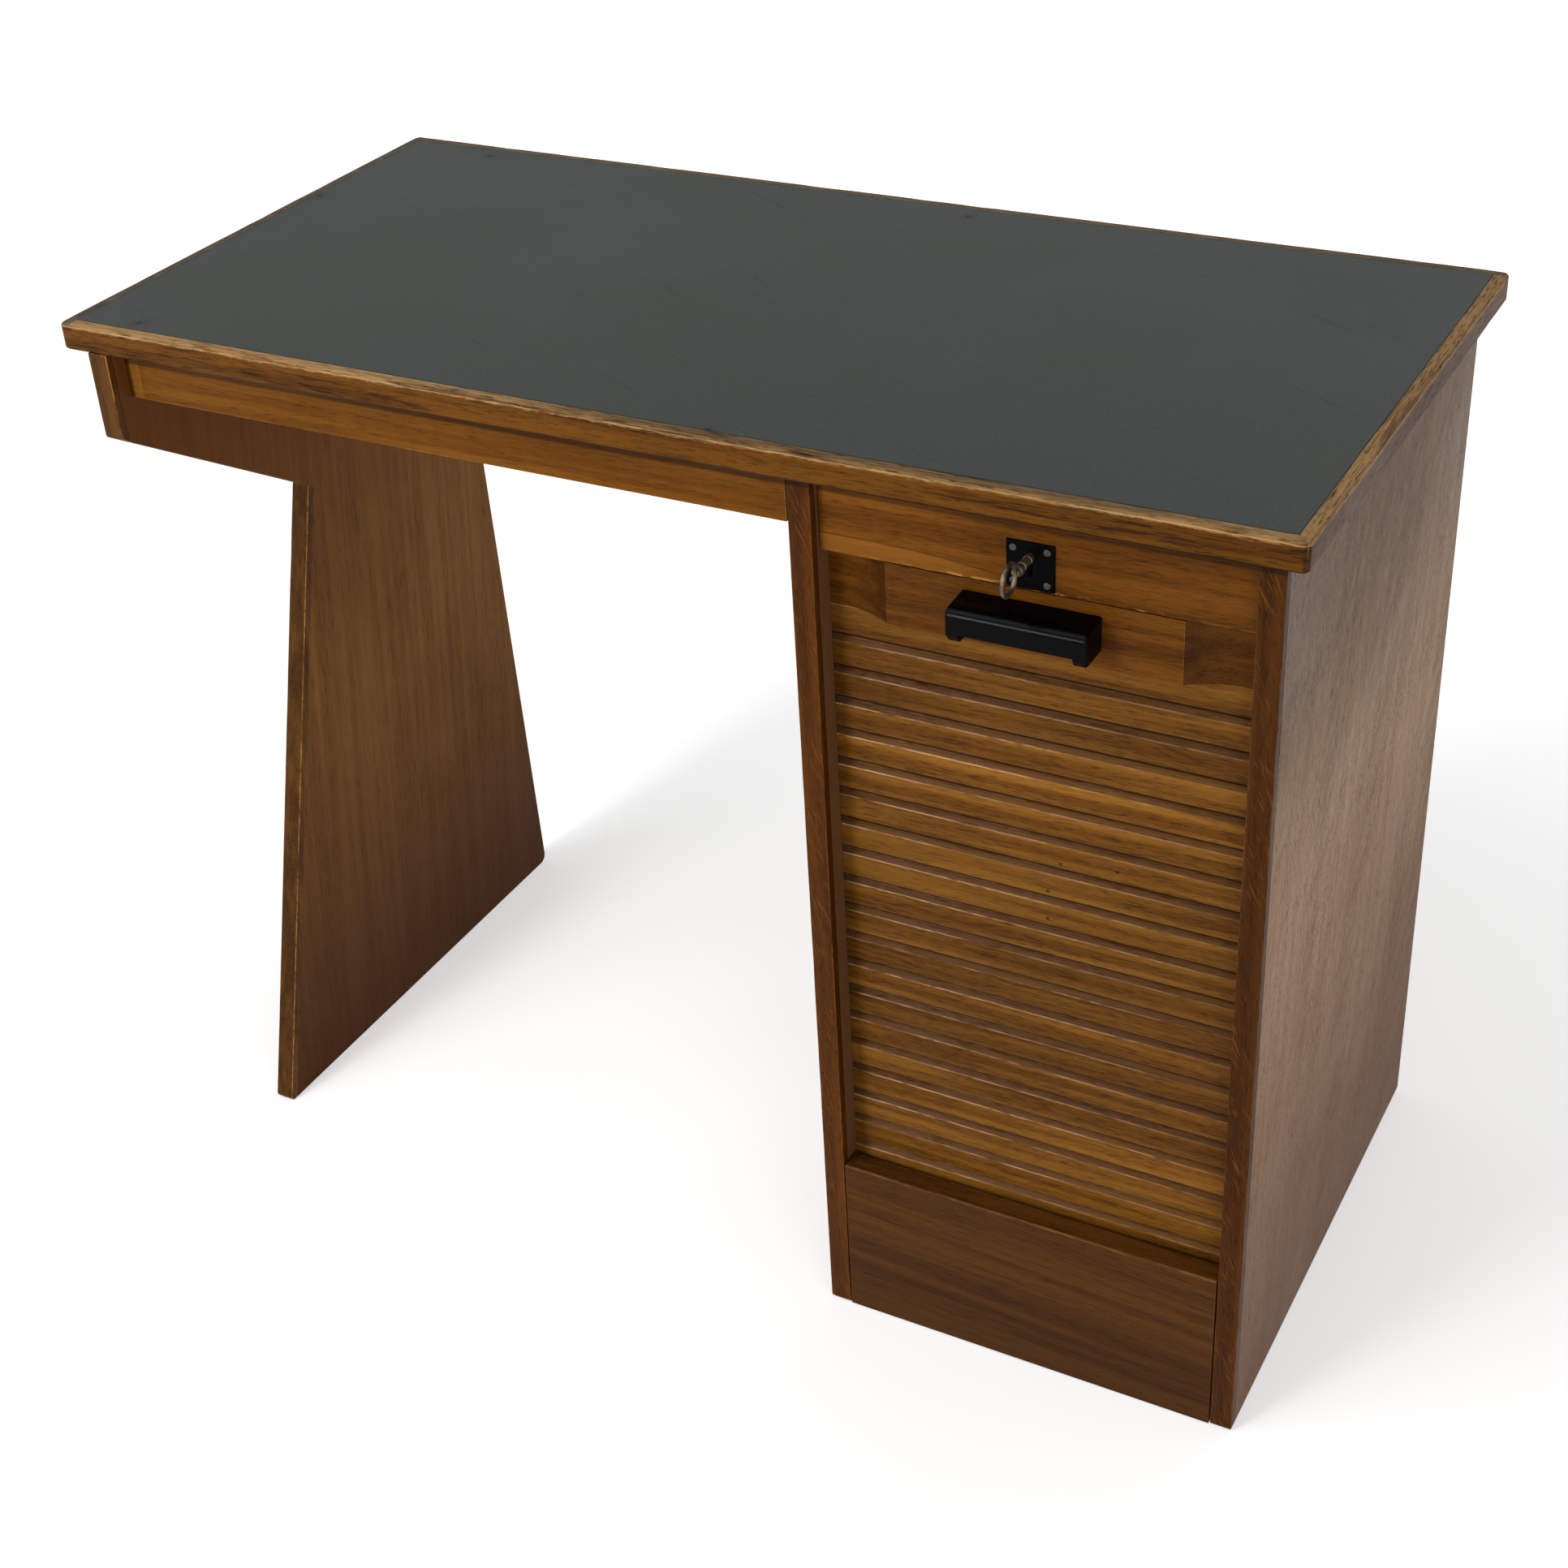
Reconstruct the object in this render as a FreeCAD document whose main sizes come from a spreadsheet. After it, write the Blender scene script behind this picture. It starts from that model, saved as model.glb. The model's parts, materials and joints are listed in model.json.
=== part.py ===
import FreeCAD, Part
import math
import os

import Sketcher

# A small oak desk: linoleum top, one slab leg, and a pedestal closed by a roll-front curtain.
# Lengths are in mm. X runs along the front, the front faces -Y, Z is up.
# Positions in Y are counted from the middle of the top and moved by centring_y at the end.

os.makedirs("parts", exist_ok=True)
TINY = 1e-6
doc = FreeCAD.newDocument("desk")
V = FreeCAD.Vector

SIZES = [
    ("top_width", 955.0, "top, left to right"),
    ("top_depth", 460.0, "top, front to back"),
    ("desk_height", 760.0, "floor to writing surface"),
    ("top_thickness", 21.0, "edge of the top"),
    ("edging_width", 9.5, "solid edging round the top"),
    ("edging_corner_radius", 5.0, "rounded corners of the top, seen from above"),
    ("edging_round", 1.8, "worn long edges of the edging"),
    ("lino_thickness", 3.0, "linoleum inlay"),
    ("left_overhang", 22.5, "top beyond the leg"),
    ("right_overhang", 18.0, "top beyond the pedestal"),
    ("board_thickness", 17.0, "leg and pedestal sides"),
    ("lipping_depth", 8.0, "solid edging on leg and sides"),
    ("foot_round", 4.0, "rounded front corners of the leg, bottom edges of the sides"),
    ("foot_back_round", 8.0, "rounded rear corner of the leg's foot"),
    ("arm_setback", 1.0, "front of the leg's arm behind the top's edge"),
    ("arm_front_height", 68.0, "front of the arm"),
    ("arm_length", 196.0, "arm, front to notch"),
    ("notch_drop", 193.0, "notch below the top's underside"),
    ("foot_front_setback", 32.0, "leg's foot behind the top's front"),
    ("leg_top_back_setback", 29.0, "leg's back edge at the top"),
    ("pedestal_width", 337.5, "pedestal, left to right"),
    ("pedestal_setback", 20.0, "pedestal's front behind the top's front"),
    ("back_setback", 1.0, "pedestal's back in front of the top's back"),
    ("back_panel_inset", 1.0, "back panel inside the sides' back edges"),
    ("back_panel_rise", 20.0, "back panel over the floor"),
    ("fascia_setback", 30.0, "fixed rail behind the top's front"),
    ("fascia_height", 62.0, "fixed rail over the curtain"),
    ("fascia_thickness", 22.0, "fixed rail and pull rail"),
    ("fascia_corner_radius", 3.5, "lower corners of the fixed rail"),
    ("end_gap", 0.4, "gap at the ends of the fixed rail"),
    ("plinth_height", 147.0, "top of the plinth board"),
    ("plinth_thickness", 17.5, "plinth board"),
    ("plinth_end_gap", 0.9, "gap at the ends of the plinth board"),
    ("floor_gap", 1.0, "plinth above the floor"),
    ("apron_height", 40.0, "rails under the top"),
    ("apron_back_inset", 5.0, "rear rail in front of the leg's back edge"),
    ("apron_thickness", 18.0, "rails under the top"),
    ("slat_thickness", 9.0, "curtain slats"),
    ("slat_pitch", 25.05, "slat to slat"),
    ("slat_gap", 0.4, "gap between slats"),
    ("slat_chamfer", 3.5, "front edges of the slats"),
    ("curtain_clearance", 20.0, "lowest slat over the groove's bend, at least"),
    ("track_depth", 8.0, "groove in the sides"),
    ("track_play", 1.0, "groove wider than the slats"),
    ("tongue_gap", 0.8, "end of a slat to the groove's floor"),
    ("track_bend_radius", 42.0, "middle of the groove round the bends"),
    ("track_bend_height", 58.0, "centre of both bends over the floor"),
    ("track_back_gap", 12.5, "rising groove in front of the back panel"),
    ("canvas_thickness", 0.8, "backing of the curtain"),
    ("rail_height", 45.5, "pull rail"),
    ("rail_gap", 0.5, "pull rail under the fixed rail"),
    ("rail_step", 13.5, "pull rail's face in front of its tongues"),
    ("rail_cove_radius", 76.0, "coved ends of the pull rail"),
    ("rail_face_inset", 48.5, "end of the raised face from the side"),
    ("handle_width", 97.0, "moulded handle"),
    ("handle_reach", 27.0, "handle, front to back"),
    ("handle_height", 25.5, "handle at its back"),
    ("handle_drop", 8.5, "handle's top under the fixed rail's lower edge"),
    ("handle_wall", 4.0, "shell of the handle"),
    ("handle_cheek", 9.0, "ends of the handle"),
    ("lock_plate_size", 33.5, "square plate"),
    ("lock_plate_thickness", 1.5, "square plate"),
    ("lock_plate_rise", 1.3, "plate over the fixed rail's lower edge"),
    ("key_axis_rise", 24.5, "key over the fixed rail's lower edge"),
    ("key_shaft_radius", 3.0, "key shaft"),
    ("key_hole_play", 0.1, "clearance round the shaft"),
    ("key_reach", 33.5, "middle of the bow in front of the plate"),
    ("bow_radius", 10.1, "middle of the bow's wire"),
    ("bow_wire_radius", 1.9, "bow's wire"),
    ("lock_pocket_depth", 14.0, "pocket for the lock in the fixed rail's back"),
    ("lock_case_width", 51.0, "lock case"),
    ("lock_case_height", 46.0, "lock case"),
    ("lock_case_wall", 1.2, "sheet of the lock case"),
    ("lock_case_play", 0.5, "pocket larger than the case"),
    ("claw_inner_radius", 18.7, "claw about the key's axis"),
    ("claw_outer_radius", 22.5, "claw about the key's axis"),
    ("claw_thickness", 2.5, "hook lever"),
    ("keeper_pin_radius", 1.8, "pin that the claw holds"),
    ("keeper_thickness", 1.6, "keeper bracket"),
    ("shelf_thickness", 16.0, "shelves"),
    ("shelf_front_gap", 12.0, "shelf front behind the curtain"),
    ("shelf_play", 1.0, "shelf shorter than the space, each end"),
    ("back_panel_thickness", 6.0, "pedestal's back"),
    ("rebate_depth", 8.5, "rebate for the back"),
    ("bottom_gap", 4.5, "bottom board behind the curtain's canvas"),
    ("tenon_thickness", 6.0, "stub tenons of the rails"),
    ("tenon_length", 8.0, "stub tenons of the rails"),
    ("housing_depth", 6.0, "groove in the sides for the bottom board"),
    ("strip_width", 10.0, "strips under the shelves"),
    ("strip_height", 12.0, "strips under the shelves"),
    ("block_size", 20.0, "glue blocks under the top"),
    ("block_length", 60.0, "glue blocks under the top"),
    ("screw_radius", 1.8, "screws of the handle"),
    ("screw_head_radius", 3.6, "screws of the handle"),
    ("small_screw_radius", 1.4, "screws of the lock plate and the keeper"),
    ("small_head_radius", 2.5, "screws of the lock plate and the keeper"),
    ("small_head_height", 0.9, "screws of the lock plate and the keeper"),
    ("fit_gap", 0.1, "clearance round screws and tenons"),
    ("claw_play", 0.6, "claw under the pin when locked"),
    ("overrun", 1.0, "cuts run past the face"),
]
sheet = doc.addObject("Spreadsheet::Sheet", "dims")
for row, (alias, value, note) in enumerate(SIZES, start=1):
    sheet.set(f"A{row}", alias)
    sheet.set(f"B{row}", str(value))
    sheet.set(f"C{row}", note)
    sheet.setAlias(f"B{row}", alias)
sheet.recompute()
doc.recompute()


class Size:
    """The sheet's values by name."""

    def __getattr__(self, alias):
        return float(sheet.get(alias))


s = Size()

# Shares that small forms take of the sizes above, and the angles of the claw
near_share = 0.25
shoulder_share = 0.16
block_places_shares = (0.2, 0.5, 0.8)
screw_inset_share = 0.7
slot_width_share = 0.55
slot_drop_share = 4.7
bit_drop_share = 4
ward_low_share, ward_high_share = 0.4, 0.6
ward_depth_share = 1.1
hub_share = 2
keeper_width_share = 3.2
keeper_rise_share = 1.6
keeper_foot_share = 0.45
keeper_front_share = 0.3
keeper_screw_place_share = 0.72
keeper_screw_length_share = 0.33
collar_share = 1.35
collar_place_share = 0.27
neck_share, neck_length_share = 0.8, 1.2
keyhole_play_share = 0.4
canvas_inset_share = 0.75
nose_fall_share, nose_round_share = 0.04, 0.3
hood_drop_share = 0.74
cheek_front_rise_share, cheek_low_place_share = 0.18, 0.14
lip_share, back_lip_share, hood_back_share = 0.7, 0.6, 1.3
cheek_round_share, cheek_chamfer_share = 0.6, 0.3
claw_tip_angle, claw_root_angle, claw_arm_angle = -18, 50, 22

# The main planes, worked out from the sheet
right_x = s.top_width / 2
left_x = -right_x
front_y = -s.top_depth / 2
back_y = -front_y
under_z = s.desk_height - s.top_thickness
leg_out_x = left_x + s.left_overhang
leg_in_x = leg_out_x + s.board_thickness
ped_right_x = right_x - s.right_overhang
ped_left_x = ped_right_x - s.pedestal_width
bay_left_x = ped_left_x + s.board_thickness
bay_right_x = ped_right_x - s.board_thickness
bay_mid_x = (bay_left_x + bay_right_x) / 2
ped_front_y = front_y + s.pedestal_setback
ped_back_y = back_y - s.back_setback
fascia_y = front_y + s.fascia_setback
fascia_back_y = fascia_y + s.fascia_thickness
fascia_z = under_z - s.fascia_height
slat_back_y = fascia_back_y
slat_front_y = slat_back_y - s.slat_thickness
track_front_y = slat_front_y - s.track_play / 2
track_back_y = slat_back_y + s.track_play / 2
track_y = (track_front_y + track_back_y) / 2
bend_front_y = track_y + s.track_bend_radius
back_panel_y = ped_back_y - s.back_panel_inset - s.back_panel_thickness
bend_back_y = back_panel_y - s.track_back_gap - s.track_bend_radius
rail_top_z = fascia_z - s.rail_gap
rail_low_z = rail_top_z - s.rail_height
key_z = fascia_z + s.key_axis_rise
plate_y = fascia_y - s.lock_plate_thickness
bow_y = plate_y - s.key_reach
key_front_y = bow_y - s.bow_radius - s.bow_wire_radius
bottom_z = s.plinth_height - s.board_thickness

sheet_rows = len(SIZES) + 1
sheet.set(f"A{sheet_rows}", "centring_y")
sheet.set(f"B{sheet_rows}", str(-(key_front_y + back_y) / 2))
sheet.set(f"C{sheet_rows}", "moves the desk so that its box is centred on the origin")
sheet.setAlias(f"B{sheet_rows}", "centring_y")
doc.recompute()

nodes = {}


def place(obj, name):
    """Label a finished sub-part and bind its place to the sheet."""
    obj.Label = name
    obj.setExpression("Placement.Base.y", "dims.centring_y")
    nodes[name] = obj
    return obj


def solid_node(name, shape):
    """A sub-part whose shape is worked out in code from the sheet."""
    obj = doc.addObject("Part::Feature", name)
    obj.Shape = shape
    return place(obj, name)


PLANES = {
    "x": ("YZ_Plane", lambda p: V(p[0], p[1], 0), 1),
    "y": ("XZ_Plane", lambda p: V(p[0], p[1], 0), -1),
    "z": ("XY_Plane", lambda p: V(p[0], p[1], 0), 1),
}


def padded(name, along, outline, start, length, bound=None):
    """A board as a body: its outline drawn across the axis, and padded along it from start."""
    role, point, sign = PLANES[along]
    body = doc.addObject("PartDesign::Body", name)
    plane = [f for f in body.Origin.OriginFeatures if f.Role == role][0]
    sketch = body.newObject("Sketcher::SketchObject", name + "_outline")
    sketch.AttachmentSupport = [(plane, "")]
    sketch.MapMode = "FlatFace"
    offset = start if sign > 0 else -(start + length)
    sketch.AttachmentOffset = FreeCAD.Placement(V(0, 0, offset), FreeCAD.Rotation())
    corners = [point(p) for p in outline]
    count = len(corners)
    for n, corner in enumerate(corners):
        sketch.addGeometry(Part.LineSegment(corner, corners[(n + 1) % count]), False)
    for n in range(count):
        sketch.addConstraint(Sketcher.Constraint("Coincident", n, 2, (n + 1) % count, 1))
    pad = body.newObject("PartDesign::Pad", name + "_pad")
    pad.Profile = sketch
    pad.Length = length
    if bound:
        pad.setExpression("Length", bound)
    body.Tip = pad
    return place(body, name)


def rounded(name, size_alias, wanted):
    """Round the edges of a padded body that the test picks."""
    body = nodes[name]
    doc.recompute()
    pad = body.Tip
    picked = [f"Edge{n}" for n, e in enumerate(pad.Shape.Edges, start=1) if wanted(e)]
    fillet = body.newObject("PartDesign::Fillet", name + "_round")
    fillet.Base = (pad, picked)
    fillet.Radius = getattr(s, size_alias)
    fillet.setExpression("Radius", "dims." + size_alias)
    body.Tip = fillet


def rectangle(a0, a1, b0, b1):
    return [(a0, b0), (a1, b0), (a1, b1), (a0, b1)]


def box(x0, x1, y0, y1, z0, z1):
    return Part.makeBox(x1 - x0, y1 - y0, z1 - z0, V(x0, y0, z0))


def rod(x, y, z, axis, radius, length):
    return Part.makeCylinder(radius, length, V(x, y, z), axis)


def flat(points, step):
    """A straight-sided prism from a closed outline of vectors."""
    return Part.Face(Part.makePolygon(points + points[:1])).extrude(step)


def face_of(edges):
    return Part.Face(Part.Wire(edges))


def line(a, b):
    return Part.LineSegment(a, b).toShape()


def arc(a, middle, b):
    return Part.Arc(a, middle, b).toShape()


def fillet_where(shape, radius, wanted):
    return shape.makeFillet(radius, [e for e in shape.Edges if wanted(e)])


def chamfer_where(shape, size, wanted):
    return shape.makeChamfer(size, [e for e in shape.Edges if wanted(e)])


def is_along(edge, direction):
    a, b = edge.Vertexes[0].Point, edge.Vertexes[-1].Point
    step = b - a
    return step.Length > TINY and abs(abs(step.normalize().dot(direction)) - 1) < TINY


def same(a, b):
    return abs(a - b) < TINY


# The top: core, linoleum and a mitred frame of edgings

in_left, in_right = left_x + s.edging_width, right_x - s.edging_width
in_front, in_back = front_y + s.edging_width, back_y - s.edging_width
core_z = s.desk_height - s.lino_thickness
padded("linoleum", "z", rectangle(in_left, in_right, in_front, in_back), core_z, s.lino_thickness,
       "dims.lino_thickness")

frame = box(left_x, right_x, front_y, back_y, under_z, s.desk_height)
frame = fillet_where(frame, s.edging_corner_radius, lambda e: is_along(e, V(0, 0, 1)))
frame = chamfer_where(frame, s.edging_round,
                      lambda e: same(e.CenterOfMass.z, s.desk_height) or same(e.CenterOfMass.z, under_z))
frame = frame.cut(box(in_left, in_right, in_front, in_back, under_z - s.edging_width,
                      s.desk_height + s.edging_width))
reach = s.top_depth / 2
below, rise = under_z - s.edging_width, V(0, 0, s.top_thickness + 2 * s.edging_width)


def mitre_zone(corner_a, corner_b, inward):
    """The wedge of the frame between two outer corners, cut at 45 degrees."""
    a, b = V(*corner_a, below), V(*corner_b, below)
    along = (b - a).normalize() * reach
    return flat([a, b, b - along + inward * reach, a + along + inward * reach], rise)


front_left, front_right = (left_x, front_y), (right_x, front_y)
back_left, back_right = (left_x, back_y), (right_x, back_y)
for name, a, b, inward in (
    ("edge_front", front_left, front_right, V(0, 1, 0)),
    ("edge_back", back_left, back_right, V(0, -1, 0)),
):
    solid_node(name, frame.common(mitre_zone(a, b, inward)))
for name, outer, inner in (("edge_left", left_x, V(1, 0, 0)), ("edge_right", right_x, V(-1, 0, 0))):
    a, b = V(outer, front_y, below), V(outer, back_y, below)
    solid_node(name, frame.common(flat([a, b, (a + b) / 2 + inner * reach], rise)))


# The leg: a slab whose arm reaches forward under the top

arm_y = front_y + s.arm_setback
arm_low = (arm_y, under_z - s.arm_front_height)
notch = (arm_y + s.arm_length, under_z - s.notch_drop)
foot_front = (front_y + s.foot_front_setback, 0.0)
foot_back = (back_y, 0.0)
leg_top_back = (back_y - s.leg_top_back_setback, under_z)
front_run = V(foot_front[0] - notch[0], foot_front[1] - notch[1])
front_way = V(front_run.x, front_run.y).normalize()
under_way = V(notch[0] - arm_low[0], notch[1] - arm_low[1]).normalize()
inset_x = s.lipping_depth / abs(front_way.y)
slip = s.lipping_depth / abs(front_way.x * under_way.y - front_way.y * under_way.x)
notch_in = (notch[0] + under_way.x * slip, notch[1] + under_way.y * slip)
foot_in = (foot_front[0] + inset_x, 0.0)


def leg_board(points):
    return flat([V(leg_out_x, y, z) for y, z in points], V(s.board_thickness, 0, 0))


def round_at(shape, radius, y, z):
    """Round the corner of the slab that stands at y and z."""
    near = radius * near_share
    return fillet_where(shape, radius, lambda e: is_along(e, V(1, 0, 0))
                        and abs(e.CenterOfMass.y - y) < near and abs(e.CenterOfMass.z - z) < near)


leg = leg_board([(arm_y + s.lipping_depth, under_z), (arm_y + s.lipping_depth, arm_low[1]
                 + s.lipping_depth * under_way.y / under_way.x), notch_in, foot_in, foot_back,
                 leg_top_back])
leg = round_at(leg, s.foot_back_round, *foot_back)
arm_edging = leg_board([(arm_y, under_z), arm_low, (arm_y + s.lipping_depth, arm_low[1]
                        + s.lipping_depth * under_way.y / under_way.x),
                        (arm_y + s.lipping_depth, under_z)])
arm_edging = round_at(arm_edging, s.foot_round, *arm_low)
solid_node("leg_arm_edging", arm_edging)
front_edging = leg_board([notch, foot_front, foot_in, notch_in])
front_edging = round_at(front_edging, s.foot_round, *foot_front)
solid_node("leg_front_edging", front_edging)


# Rails between leg and pedestal, under the top

apron_front_y = ped_front_y - s.arm_setback
apron_back_y = back_y - s.leg_top_back_setback - s.apron_back_inset


# The curtain's track, as the solid that the cutter takes away

def track(x0, x1):
    """Down the front, round two bends under the bottom board, and up at the back."""
    half = (track_back_y - track_front_y) / 2
    middle, z = s.track_bend_radius, s.track_bend_height
    low = z - middle
    parts = [box(x0, x1, track_front_y, track_back_y, z, fascia_z),
             box(x0, x1, bend_front_y, bend_back_y, low - half, low + half),
             box(x0, x1, bend_back_y + middle - half, bend_back_y + middle + half, z,
                 bottom_z - s.bottom_gap)]
    for centre_y, turn in ((bend_front_y, 180), (bend_back_y, 270)):
        ring = Part.makeCylinder(middle + half, x1 - x0, V(x0, centre_y, z), V(1, 0, 0), 90)
        hole = Part.makeCylinder(middle - half, x1 - x0, V(x0, centre_y, z), V(1, 0, 0))
        bend = ring.cut(hole)
        bend.rotate(V(x0, centre_y, z), V(1, 0, 0), turn - bend_start(ring, centre_y, z))
        parts.append(bend)
    return parts[0].multiFuse(parts[1:])


def bend_start(ring, centre_y, z):
    """Angle about X, from +Y towards +Z, at which a quarter ring starts."""
    c = ring.CenterOfMass
    return math.degrees(math.atan2(c.z - z, c.y - centre_y)) - 45


# Rails end in stub tenons, and the boards they meet have mortises

def tenoned(x0, x1, y0, y1, z0, z1, tenon_back_y, tenon_low_z, tenon_high_z):
    """A rail with a stub tenon at each end, and the tool that cuts both mortises."""
    tenon_y = (tenon_back_y - s.tenon_thickness, tenon_back_y)
    reach = s.tenon_length
    tenon = box(x0 - reach, x1 + reach, *tenon_y, tenon_low_z, tenon_high_z)
    more = s.fit_gap
    mortise = box(x0 - reach - more, x1 + reach + more, tenon_y[0] - more, tenon_y[1] + more,
                  tenon_low_z - more, tenon_high_z + more)
    return box(x0, x1, y0, y1, z0, z1).fuse(tenon).removeSplitter(), mortise


mortises = []
apron_low_z = under_z - s.apron_height
apron_shoulder = s.apron_height * shoulder_share
for name, y in (("apron_front", apron_front_y), ("apron_back", apron_back_y - s.apron_thickness)):
    tenon_back_y = y + (s.apron_thickness + s.lipping_depth + s.tenon_thickness) / 2
    apron, mortise = tenoned(leg_in_x, ped_left_x, y, y + s.apron_thickness, apron_low_z, under_z,
                             tenon_back_y, apron_low_z + apron_shoulder, under_z - apron_shoulder)
    mortises.append(mortise)
    solid_node(name, apron)
solid_node("leg_panel", leg.cut(mortises))

plinth, mortise = tenoned(
    bay_left_x + s.plinth_end_gap, bay_right_x - s.plinth_end_gap, ped_front_y,
    ped_front_y + s.plinth_thickness, s.floor_gap, s.plinth_height,
    ped_front_y + (s.plinth_thickness + s.lipping_depth + s.tenon_thickness) / 2,
    s.plinth_height * shoulder_share, s.plinth_height * (1 - shoulder_share))
mortises.append(mortise)
plinth = chamfer_where(plinth, s.end_gap * 2, lambda e: same(e.CenterOfMass.z, s.plinth_height)
                       and is_along(e, V(1, 0, 0)))
solid_node("plinth", plinth)
fascia, mortise = tenoned(bay_left_x + s.end_gap, bay_right_x - s.end_gap, fascia_y, fascia_back_y,
                          fascia_z, under_z, fascia_back_y - (s.fascia_thickness - s.tenon_thickness) / 2,
                          fascia_z + s.fascia_height * shoulder_share,
                          under_z - s.fascia_height * shoulder_share)
mortises.append(mortise)


# Pedestal sides with the track, the back's rebate, the bottom's groove and mortises

bottom_front_y = slat_back_y + s.canvas_thickness + s.bottom_gap
for side, out_x, in_x, way in (("left", ped_left_x, bay_left_x, -1), ("right", ped_right_x, bay_right_x, 1)):
    x0, x1 = min(out_x, in_x), max(out_x, in_x)
    groove_x = sorted((in_x, in_x + way * s.track_depth))
    rebate_x = sorted((in_x - way * s.overrun, in_x + way * s.rebate_depth))
    housing_x = sorted((in_x - way * s.overrun, in_x + way * s.housing_depth))
    panel = box(x0, x1, ped_front_y + s.lipping_depth, ped_back_y, 0, under_z)
    panel = fillet_where(panel, s.foot_round, lambda e: same(e.CenterOfMass.z, 0)
                         and same(e.CenterOfMass.x, out_x))
    panel = panel.cut([
        track(*groove_x),
        box(*rebate_x, back_panel_y, ped_back_y + s.overrun, -s.overrun, under_z + s.overrun),
        box(*housing_x, bottom_front_y, back_panel_y + s.overrun, bottom_z, s.plinth_height)])
    solid_node("side_" + side, panel.cut([m for m in mortises if m.BoundBox.intersect(panel.BoundBox)]))
    edging = box(x0, x1, ped_front_y, ped_front_y + s.lipping_depth, 0, under_z)
    edging = fillet_where(edging, s.foot_round, lambda e: same(e.CenterOfMass.z, 0)
                          and (same(e.CenterOfMass.x, out_x) or same(e.CenterOfMass.y, ped_front_y)))
    solid_node(f"side_{side}_edging", edging)


# Back, bottom, shelves and the strips under the shelves

back_reach = s.rebate_depth - s.end_gap
padded("back_panel", "z", rectangle(bay_left_x - back_reach, bay_right_x + back_reach, back_panel_y,
                                    back_panel_y + s.back_panel_thickness),
       s.back_panel_rise, under_z - s.back_panel_rise)
housing_reach = s.housing_depth - s.end_gap
padded("bottom_board", "z", rectangle(bay_left_x - housing_reach, bay_right_x + housing_reach,
                                      bottom_front_y, back_panel_y),
       bottom_z, s.board_thickness, "dims.board_thickness")
shelf_space = (fascia_z - s.plinth_height - 2 * s.shelf_thickness) / 3
shelf_z = [s.plinth_height + shelf_space, s.plinth_height + 2 * shelf_space + s.shelf_thickness]
shelf_front_y = slat_back_y + s.canvas_thickness + s.shelf_front_gap
shelf_back_y = back_panel_y - s.shelf_play
for name, z in zip(("shelf_lower", "shelf_upper"), shelf_z):
    padded(name, "z", rectangle(bay_left_x + s.shelf_play, bay_right_x - s.shelf_play, shelf_front_y,
                                shelf_back_y), z, s.shelf_thickness, "dims.shelf_thickness")
    rounded(name, "edging_round", lambda e: is_along(e, V(1, 0, 0))
            and same(e.CenterOfMass.y, shelf_front_y))
strips = []
for z in shelf_z:
    for x in (bay_left_x, bay_right_x - s.strip_width):
        strips.append(box(x, x + s.strip_width, shelf_front_y + s.shelf_thickness,
                          shelf_back_y - s.shelf_thickness, z - s.strip_height, z))
solid_node("shelf_strips", Part.makeCompound(strips))


# Three-cornered blocks, glued between the top and what carries it

blocks = []


def block(corner, side_way, along):
    """One block: its right angle at the corner, one leg along the top and one down."""
    down = V(0, 0, -s.block_size)
    start = corner - along * (s.block_length / 2)
    blocks.append(flat([start, start + side_way * s.block_size, start + down], along * s.block_length))


for x, way in ((leg_in_x, 1), (bay_left_x, 1), (bay_right_x, -1)):
    y0, y1 = fascia_back_y, apron_back_y - s.apron_thickness
    for share in block_places_shares:
        block(V(x, y0 + (y1 - y0) * share, under_z), V(way, 0, 0), V(0, 1, 0))
for y, way in ((apron_front_y + s.apron_thickness, 1), (apron_back_y - s.apron_thickness, -1)):
    for share in block_places_shares:
        block(V(leg_in_x + (ped_left_x - leg_in_x) * share, y, under_z), V(0, way, 0), V(1, 0, 0))
solid_node("glue_blocks", Part.makeCompound(blocks))
padded("top_core", "z", rectangle(in_left, in_right, in_front, in_back), under_z, core_z - under_z)


# The lock: plate, case, hook lever and key. The claw turns on the key's own axis.

key_x = bay_mid_x
plate_z = fascia_z + s.lock_plate_rise
plate_mid_z = plate_z + s.lock_plate_size / 2
half_plate = s.lock_plate_size / 2
slot_half = s.key_shaft_radius * slot_width_share
slot_low_z = key_z - s.key_shaft_radius * slot_drop_share


def keyhole(y0, y1, more):
    """Round hole with the slot under it that lets the key's bit through."""
    hole = rod(key_x, y0, key_z, V(0, 1, 0), s.key_shaft_radius + more, y1 - y0)
    slot = box(key_x - slot_half, key_x + slot_half, y0, y1, slot_low_z, key_z)
    return hole.fuse(slot)


plate_inset = half_plate * screw_inset_share
plate_screw_places = [(key_x + a * plate_inset, plate_mid_z + b * plate_inset)
                      for a in (-1, 1) for b in (-1, 1)]
plate_screw_length = s.lock_plate_thickness + (s.fascia_thickness - s.lock_pocket_depth) - s.overrun


def plate_screw(x, z):
    head = rod(x, plate_y - s.small_head_height, z, V(0, 1, 0), s.small_head_radius, s.small_head_height)
    return head.fuse(rod(x, plate_y, z, V(0, 1, 0), s.small_screw_radius, plate_screw_length))


def plate_screw_hole(x, z):
    return rod(x, plate_y - s.overrun, z, V(0, 1, 0), s.small_screw_radius + s.fit_gap,
               plate_screw_length + s.overrun + s.fit_gap)


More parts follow.
